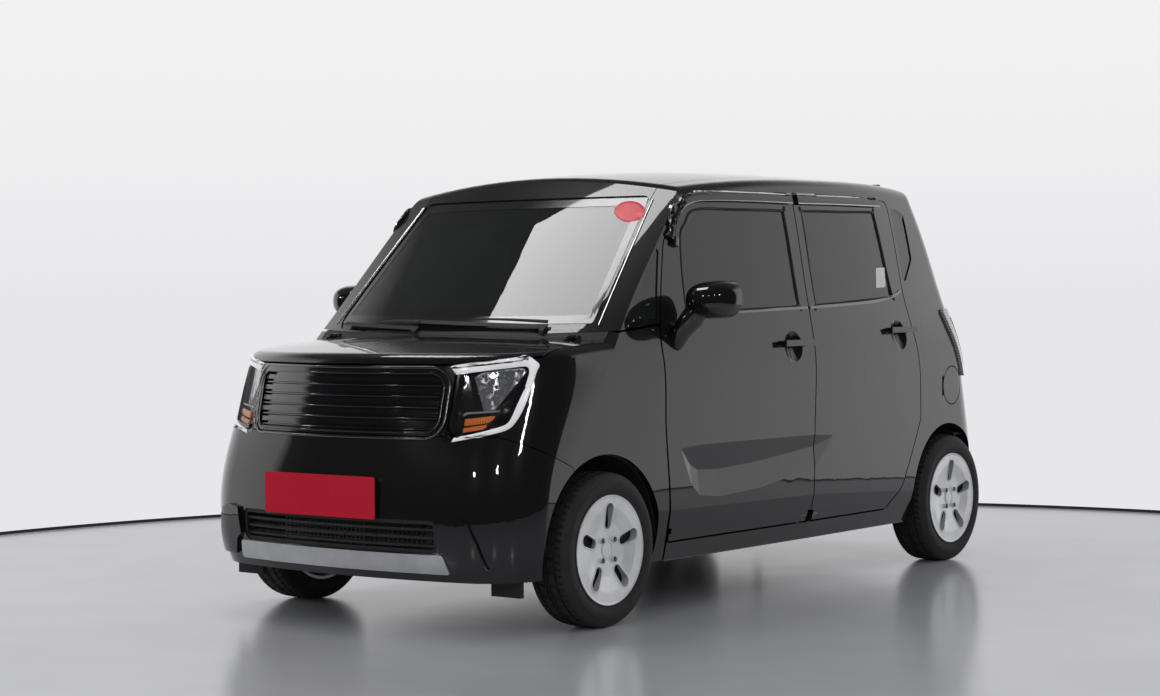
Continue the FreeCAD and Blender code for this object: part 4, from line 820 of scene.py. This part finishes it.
def tyre_mesh(bm, centre, side):
    profile = [(out, radius, 0) for out, radius in TYRE_SIDE] + TREAD
    profile += [(-out, radius, kind) for out, radius, kind in reversed(profile)]
    rings = []
    for k in range(PITCHES * 4):
        ring = []
        for out, radius, kind in profile:
            shift = 0.5 * abs(out) / 0.066 * math.copysign(1, out)
            cut = (kind == 1 and k % 4 == 3) or (kind == 2 and k % 8 == 1)
            angle = 2 * math.pi * (k + shift) / (PITCHES * 4)
            ring.append(bm.verts.new(on_wheel(centre, side * out, radius - (0.0055 if cut else 0.0), angle)))
        rings.append(ring)
    skin(bm, rings, closed=True)


def pill_outline(parts=7):
    """A wheel cover's slot in (along, across): a wide outer end and a narrower inner one."""
    points = []
    for start, middle, radius in ((-90, 0.146, 0.024), (90, 0.092, 0.020)):
        for step in range(parts + 1):
            angle = math.radians(start + 180 * step / parts)
            points.append((middle + radius * math.cos(angle), radius * math.sin(angle)))
    return points


def cover_height(radius):
    """How far out the wheel cover stands at a radius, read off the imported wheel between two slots."""
    start = on_wheel(Vector((0, FRONT_AXLE, AXLE_HIGH)), 1.2, radius, math.radians(90 + 36))
    place = COVER_LEFT.ray_cast(start, TO_RIGHT)[0]
    return (place.x if place else 0.78) - AXLE_OUT


COVER_TABLE = [(r / 1000, cover_height(r / 1000)) for r in range(68, 182, 6)]


def cover_at(radius):
    for (r0, h0), (r1, h1) in zip(COVER_TABLE[:-1], COVER_TABLE[1:]):
        if r0 <= radius <= r1:
            return h0 + (h1 - h0) * (radius - r0) / (r1 - r0)
    return COVER_TABLE[0][1] if radius < COVER_TABLE[0][0] else COVER_TABLE[-1][1]


for tag, side, axle_y in WHEELS:
    centre = Vector((side * AXLE_OUT, axle_y, AXLE_HIGH))
    body = "wheel_" + tag
    bm = bmesh.new()
    tyre_mesh(bm, centre, side)
    made = piece("tread_tyre_" + tag, bm, MATS["tyre"], body, 28.0)
    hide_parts("tyre_" + tag)
    bm = bmesh.new()
    revolve(bm, [(0.047, 0.066), (0.047, 0.182), (0.044, 0.182), (0.044, 0.066)], centre, side)
    piece("wheel_backing_" + tag, bm, MATS["plastic"], body)
    bm = bmesh.new()
    for index in range(5):
        turn = math.radians(90 + index * 72)
        centres = []
        for along, across in pill_outline():
            y = along * math.cos(turn) - across * math.sin(turn)
            z = along * math.sin(turn) + across * math.cos(turn)
            centres.append(centre + Vector((side * (cover_at(math.hypot(along, across)) + 0.0002), y, z)))
        tube(bm, centres, 0.0030, Vector((side, 0, 0)), 8, 0.75, closed=True)
    piece("slot_lips_" + tag, bm, MATS["rim"], body)
    bm = bmesh.new()
    for index in range(4):
        angle = math.radians(45 + index * 90)
        foot = centre + Vector((side * 0.0772, 0.05 * math.cos(angle), 0.05 * math.sin(angle)))
        centres = [foot + Vector((side * out, 0, 0)) for out in (0.0, 0.0025, 0.0045, 0.0052)]
        tube(bm, centres, 0.0098, UPWARD, 12, scales=(1.0, 1.0, 0.86, 0.55))
    piece("wheel_nuts_" + tag, bm, MATS["dark_chrome"], body)
    bm = bmesh.new()
    revolve(bm, [(0.0695, 0.0315), (0.0722, 0.0300), (0.0722, 0.0275), (0.0695, 0.0262)], centre, side)
    piece("cap_ring_" + tag, bm, MATS["rim"], body)

# Door mirrors: a domed shell on a leaning foot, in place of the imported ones
MIRROR_BACK = -0.6280
for side, tag in SIDES:
    bm = bmesh.new()
    bmesh.ops.create_uvsphere(bm, u_segments=56, v_segments=36, radius=1.0)
    for vertex in bm.verts:
        across, up, along = (math.copysign(abs(part) ** 0.76, part) for part in vertex.co)
        vertex.co = Vector((0.894 + 0.102 * across, MIRROR_BACK + 0.002 + 0.140 * along,
                            1.164 + 0.072 * up + 0.004 * across))
    bmesh.ops.bisect_plane(bm, geom=bm.verts[:] + bm.edges[:] + bm.faces[:], plane_co=(0, MIRROR_BACK, 0),
                           plane_no=(0, 1, 0), clear_outer=True)
    bmesh.ops.holes_fill(bm, edges=[edge for edge in bm.edges if edge.is_boundary])
    foot = on_side(-0.722, 1.000)[0]
    centres = [Vector((foot.x - 0.006, -0.724, 0.988)), foot, foot + Vector((0.016, 0.004, 0.046)),
               Vector((0.832, -0.706, 1.100)), Vector((0.858, -0.692, 1.140))]
    tube(bm, centres, 0.050, TO_LEFT, 24, 0.74, scales=(0.50, 0.66, 0.92, 1.10, 0.95))
    flipped(bm, side)
    made = piece("mirror_shell_" + tag, bm, MATS["gloss"], "front_door_" + tag, 50.0)
    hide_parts("mirror_" + tag)

# Mirror glasses in their dark frames
for side, tag in SIDES:
    for name, grow, y0, y1, key in (("mirror_frame_", 0.005, -0.6335, -0.6262, "gloss"),
                                    ("mirror_glass_", 0.0, -0.6305, -0.6252, "mirror")):
        bm = bmesh.new()
        block(bm, (0.828 - grow, y0, 1.116 - grow), (0.974 + grow, y1, 1.210 + grow))
        round_edges(bm, [edge for edge in bm.edges
                         if abs((edge.verts[0].co - edge.verts[1].co).normalized().y) > 0.9], 0.034, 8)
        round_edges(bm, [edge for edge in bm.edges
                         if all(abs(vertex.co.y - y1) < 1e-6 for vertex in edge.verts)], 0.0012, 2)
        flipped(bm, side)
        piece(name + tag, bm, MATS[key], "front_door_" + tag, 40.0)

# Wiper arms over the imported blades
bm = bmesh.new()
for pivot, tip, low, rise in ((0.462, 0.150, 1.066, 0.018), (-0.108, -0.330, 1.058, 0.016)):
    centres = []
    for step in range(13):
        share = step / 12
        x = pivot + (tip - pivot) * share
        z = low + 0.010 + rise * abs(x - pivot) / 0.62
        place, normal = on_glass(x, max(z, 1.075))
        centres.append(place + normal * (0.0185 + 0.004 * math.sin(math.pi * share)))
    tube(bm, centres, 0.0065, SCREEN_OUT, 8, 0.55, scales=[1.25 - 0.6 * i / 12 for i in range(13)])
piece("wiper_arms", bm, MATS["plastic"], "body")

# Tail: red guides on the lamp facings, stop lamp, gate handle, reflectors and a wiper
guides = []
for offset in (0.0, 0.060, 0.120):
    line = dense([(1.452 + offset * 0.2, 1.075 - offset * 0.2), (1.500 + offset * 0.1, 0.985),
                  (1.535, 0.860 + offset * 0.3)], 8)
    guides.append((line, [(y + 0.012, z + 0.003) for y, z in line]))
side_strip("tail_guides", MATS["red_lens"], BOTH_BODY, guides, on_lamp,
           lift=0.0016, thick=0.003, crown=0.001, across=3)


def level(x0, x1, z, tall, parts):
    line = dense([(x0, z), (x1, z)], parts)
    return line, [(x, z + tall) for x, _ in line]


strip("stop_lamp", MATS["red_lens"], "tailgate", [level(-0.17, 0.17, 1.583, -0.018, 12)], on_tail,
      lift=0.0042, thick=0.012, crown=0.002, across=4)
strip("gate_garnish", MATS["gloss"], "tailgate", [level(-0.29, 0.29, 0.927, -0.032, 16)], on_tail,
      lift=0.010, thick=0.016, crown=0.004, across=6)
strip("rear_reflectors", MATS["red_lens"], "body",
      [level(0.46, 0.60, 0.415, 0.034, 8), level(-0.60, -0.46, 0.415, 0.034, 8)], on_tail,
      lift=0.0045, thick=0.010, crown=0.001, across=4)
bm = bmesh.new()
centres = []
for step in range(17):
    share = step / 16
    place, normal = on_tail(-0.02 + 0.33 * share, 1.168 + 0.012 * share)
    centres.append(place + normal * 0.010)
tube(bm, centres, 0.0075, TO_BACK, 8, 0.6, scales=[1.2 - 0.5 * i / 16 for i in range(17)])
pivot, normal = on_tail(-0.02, 1.150)
centres = [pivot + normal * out for out in (-0.008, 0.006, 0.016, 0.020)]
tube(bm, centres, 0.019, UPWARD, 16, scales=(1.0, 1.0, 0.9, 0.5))
piece("rear_wiper", bm, MATS["plastic"], "tailgate", 50.0)

# Number plate: rolled edge of its blank face
bm = bmesh.new()
edge_line = [Vector((-0.036 + x, -1.7968, z)) for x, z in round_rect(0.262, 0.414, 0.550, 0.010, 4)]
tube(bm, edge_line, 0.0022, TO_FRONT, 6, 0.3, closed=True)
piece("plate_edge", bm, MATS["plate"], "body")

# Dashboard details behind the glass
bm = bmesh.new()
for x0, x1 in ((-0.60, -0.44), (-0.125, -0.02), (0.02, 0.125), (0.50, 0.62)):
    block(bm, (x0, -0.640, 0.862), (x1, -0.618, 0.922), 0.008, 3)
    for row in range(3):
        z = 0.876 + row * 0.014
        block(bm, (x0 + 0.012, -0.622, z), (x1 - 0.012, -0.612, z + 0.004), 0.001, 1)
piece("dash_vents", bm, MATS["plastic"], "body")
bm = bmesh.new()
block(bm, (-0.112, -0.6085, 0.910), (0.112, -0.6035, 1.040), 0.002)
piece("dash_screen", bm, MATS["gloss"], "body")
bm = bmesh.new()
block(bm, (0.235, -0.700, 0.985), (0.455, -0.600, 1.062), 0.022, 4)
piece("cluster_hood", bm, MATS["dash"], "body")

# Seats: foam swollen by a cloth run, with sewn channels pressed in after it
FOAM_INSET = Vector((0.011, 0.011, 0.011))
FOAM_VOXEL = 0.0085
FOAM_CAP = 0.012
FOAM_FRAMES = 16


def turned(point, lean, origin):
    c, s = math.cos(math.radians(lean)), math.sin(math.radians(lean))
    return Vector((point.x + origin[0], point.y * c + point.z * s + origin[1],
                   -point.y * s + point.z * c + origin[2]))


def evaluated(made):
    return bpy.data.meshes.new_from_object(made.evaluated_get(bpy.context.evaluated_depsgraph_get()))


def soft_part(made, body):
    smooth = made.modifiers.new("smooth", "SUBSURF")
    smooth.levels = 1
    smooth.render_levels = 1
    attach(made, body)


def foam(name, low, high, grooves, lean, origin, body="body"):
    """One pad: a rounded block that is remeshed, swollen under pressure and then grooved.

    A groove is an axis, its place on it, its width and its depth.
    """
    low = Vector(low) + FOAM_INSET
    high = Vector(high) - FOAM_INSET
    bm = bmesh.new()
    block(bm, low, high, 0.030, 4)
    made = mesh_object(name, bm)
    remesh = made.modifiers.new("remesh", "REMESH")
    remesh.mode = "VOXEL"
    remesh.voxel_size = FOAM_VOXEL
    bpy.context.view_layer.update()
    fine = evaluated(made)
    made.modifiers.clear()
    made.data = fine
    cloth = made.modifiers.new("cloth", "CLOTH")
    cloth.settings.quality = 3
    cloth.settings.use_pressure = True
    cloth.settings.uniform_pressure_force = 4.0
    cloth.settings.effector_weights.gravity = 0.0
    cloth.point_cache.frame_start = 1
    cloth.point_cache.frame_end = FOAM_FRAMES
    for frame_number in range(1, FOAM_FRAMES + 1):
        bpy.context.scene.frame_set(frame_number)
    swollen = evaluated(made)
    made.modifiers.clear()
    for vertex, after in zip(fine.vertices, swollen.vertices):
        moved = after.co - vertex.co
        if moved.length > FOAM_CAP:
            moved *= FOAM_CAP / moved.length
        vertex.co = vertex.co + moved
    bpy.context.scene.frame_set(1)
    centre = (low + high) / 2
    half = (high - low) / 2
    for vertex in fine.vertices:
        place = vertex.co.copy()
        away = place - centre
        press = 0.0
        for axis, spot, wide, depth in grooves:
            press += depth * math.exp(-((place[axis] - spot) / wide) ** 2)
        inward = Vector((away.x / half.x, away.y / half.y, away.z / half.z)).normalized()
        vertex.co = turned(place - inward * press, lean, origin)
    for polygon in fine.polygons:
        polygon.use_smooth = True
    fine.materials.clear()
    fine.materials.append(MATS["cloth"])
    soft_part(made, body)
    return made


def other_side(made, name, body="body"):
    mesh = made.data.copy()
    for vertex in mesh.vertices:
        vertex.co.x = -vertex.co.x
    mesh.flip_normals()
    soft_part(placed(name, mesh), body)


# Columns: tag, x of its middle, width, front y, lower z, depth, back's height, thickness, lean in degrees,
# headrest's width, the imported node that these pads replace
SEATS = [
    ("front", 0.345, 0.490, -0.400, 0.500, 0.470, 0.600, 0.130, 16.0, 0.240, "front_seats"),
    ("rear", 0.290, 0.570, 0.420, 0.450, 0.560, 0.600, 0.130, 18.0, 0.230, "rear_seats"),
]
for tag, x, width, y, low, depth, height, thick, lean, head_width, node in SEATS:
    half = width / 2
    origin = (x, y + depth - 0.006, low + thick * 0.45)
    seams = [(0, -half * 0.55, 0.007, 0.006), (0, half * 0.55, 0.007, 0.006)]
    cushion = foam(tag + "_cushion_left", (-half, y, low), (half, y + depth, low + thick),
                   seams + [(1, y + depth * 0.36, 0.007, 0.004)], 0.0, (x, 0, 0))
    rest = foam(tag + "_back_left", (-half, -thick / 2, 0.0), (half, thick / 2, height),
                seams + [(2, height * 0.62, 0.007, 0.004)], lean, origin)
    head = foam(tag + "_headrest_left", (-head_width / 2, -0.052, height + 0.026),
                (head_width / 2, 0.040, height + 0.190), [(2, height + 0.05, 0.005, 0.003)], lean, origin)
    for made, name in ((cushion, "_cushion_right"), (rest, "_back_right"), (head, "_headrest_right")):
        other_side(made, tag + name)
    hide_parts(node)
    bm = bmesh.new()
    for step in (-0.06, 0.06):
        stalk = [Vector((step, -0.005, height - 0.03 + up)) for up in (0.0, 0.03, 0.06, 0.09)]
        tube(bm, [turned(point, lean, origin) for point in stalk], 0.007, TO_BACK, 12)
    mirror_into(bm)
    piece(tag + "_rest_stalks", bm, MATS["bright"], "body")
bm = bmesh.new()
for low, high, bevel in (((0.160, -0.326, 0.2225), (0.205, 0.056, 0.262), 0.006),
                         ((0.485, -0.326, 0.2225), (0.530, 0.056, 0.262), 0.006),
                         ((0.165, -0.300, 0.262), (0.190, 0.030, 0.478), 0.006),
                         ((0.500, -0.300, 0.262), (0.525, 0.030, 0.478), 0.006),
                         ((0.165, -0.320, 0.440), (0.525, 0.050, 0.500), 0.008)):
    block(bm, low, high, bevel)
mirror_into(bm)
piece("front_seat_frames", bm, MATS["dash"], "body")
bm = bmesh.new()
block(bm, (0.045, 0.475, 0.437), (0.535, 0.825, 0.565), 0.010)
mirror_into(bm)
piece("rear_seat_base", bm, MATS["dash"], "body")

# Studio: a pale floor inside a round white wall that rays see, dark room behind the camera, soft lamps
FLOOR_CENTRE = Vector((0.73, -0.53, 0.0))
FLOOR_RADIUS = 4.42
FLOOR_PARTS = 160
WALL_FOOT = ((0.0, 0.0), (0.0, 0.014), (0.01, 0.014), (0.01, 0.0))


def add_floor():
    bm = bmesh.new()
    bmesh.ops.create_circle(bm, cap_ends=True, cap_tris=True, segments=FLOOR_PARTS, radius=FLOOR_RADIUS)
    for vertex in bm.verts:
        vertex.co += FLOOR_CENTRE
    material, tree, bsdf = shader("floor_grey")
    stops = [(0.3, (0.34, 0.345, 0.37)), (0.7, (0.38, 0.385, 0.41))]
    look(tree, bsdf, noise(tree, 0.6, 3.0), stops, noise(tree, 3.0, 4.0), 0.16, 0.24)
    floor = mesh_object("floor", bm, material)
    bm = bmesh.new()
    rings = []
    for k in range(FLOOR_PARTS):
        angle = 2 * math.pi * k / FLOOR_PARTS
        out = Vector((math.cos(angle), math.sin(angle), 0))
        rings.append([bm.verts.new(FLOOR_CENTRE + out * (FLOOR_RADIUS + past) + Vector((0, 0, z)))
                      for past, z in WALL_FOOT])
    skin(bm, rings, closed=True)
    foot = mesh_object("wall_foot", bm, MATS["under"])


def add_light(name, place, target, size, size_y, power):
    data = bpy.data.lights.new(name, "AREA")
    data.shape = "RECTANGLE"
    data.size = size
    data.size_y = size_y
    data.energy = power
    aim = (Vector(target) - Vector(place)).to_track_quat("-Z", "Y")
    placed(name, data).matrix_world = Matrix.Translation(place) @ aim.to_matrix().to_4x4()


def mixed(tree, factor, low, high):
    """A colour between low and high; low may be a plain colour."""
    node = add(tree, "ShaderNodeMix", data_type="RGBA")
    tree.links.new(factor, node.inputs["Factor"])
    if isinstance(low, tuple):
        node.inputs[6].default_value = low
    else:
        tree.links.new(low, node.inputs[6])
    tree.links.new(high, node.inputs[7])
    return node.outputs[2]


def add_world():
    """What the camera sees is the wall; what the paint mirrors is the wall, a dark room and a soft top."""
    world = bpy.data.worlds.new("studio")
    world.use_nodes = True
    tree = world.node_tree
    background = tree.nodes["Background"]
    background.inputs["Strength"].default_value = 1.0
    coords = add(tree, "ShaderNodeTexCoord")
    split = add(tree, "ShaderNodeSeparateXYZ")
    tree.links.new(coords.outputs["Generated"], split.inputs["Vector"])
    height = spread(tree, split.outputs["Z"], 0.0, 1.0)
    wall = ramp(tree, height, [(0.0, (0.80, 0.80, 0.83)), (0.06, (0.86, 0.86, 0.87)),
                               (0.2, (0.92, 0.92, 0.915)), (1.0, (0.90, 0.90, 0.90))])
    flat = add(tree, "ShaderNodeVectorMath", operation="MULTIPLY")
    flat.inputs[1].default_value = (1.0, 1.0, 0.0)
    tree.links.new(coords.outputs["Generated"], flat.inputs[0])
    unit = add(tree, "ShaderNodeVectorMath", operation="NORMALIZE")
    tree.links.new(flat.outputs["Vector"], unit.inputs[0])
    toward = add(tree, "ShaderNodeVectorMath", operation="DOT_PRODUCT")
    turn = math.radians(128.0)
    toward.inputs[1].default_value = (math.cos(turn), math.sin(turn), 0.0)
    tree.links.new(unit.outputs["Vector"], toward.inputs[0])
    inside = ramp(tree, spread(tree, toward.outputs["Value"], 0.0, 1.0),
                  [(0.10, (0.0, 0.0, 0.0)), (0.16, (1.0, 1.0, 1.0))])
    above = ramp(tree, height, [(0.0, (0.9, 0.9, 0.92)), (0.42, (0.80, 0.80, 0.80)),
                                (0.60, (0.10, 0.10, 0.10)), (1.0, (0.05, 0.05, 0.05))])
    room = ramp(tree, height, [(0.0, (0.030, 0.030, 0.034)), (0.5, (0.022, 0.022, 0.024)),
                               (1.0, (0.05, 0.05, 0.05))])
    rays = add(tree, "ShaderNodeLightPath")
    mirrored = mixed(tree, inside, room, above)
    glossy = mixed(tree, rays.outputs["Is Glossy Ray"], (0.80, 0.80, 0.81, 1.0), mirrored)
    shown = mixed(tree, rays.outputs["Is Camera Ray"], glossy, wall)
    tree.links.new(shown, background.inputs["Color"])
    bpy.context.scene.world = world


add_camera()
add_floor()
add_world()
add_light("screen_lamp", (-1.54, -1.3, 5.0), (-1.54, -1.3, 0.0), 1.80, 1.4, 46.0)
SPOTS = [(6.4, -3.2, 3.0), (5.2, -6.4, 3.3), (1.6, -8.2, 3.1), (-2.2, -7.6, 3.2), (-5.6, -5.0, 3.2)]
for index, place in enumerate(SPOTS):
    add_light("spot_%d" % index, place, (0, -0.6, 0.7), 0.32, 0.32, 16.0)

bpy.context.scene.view_settings.view_transform = "Standard"
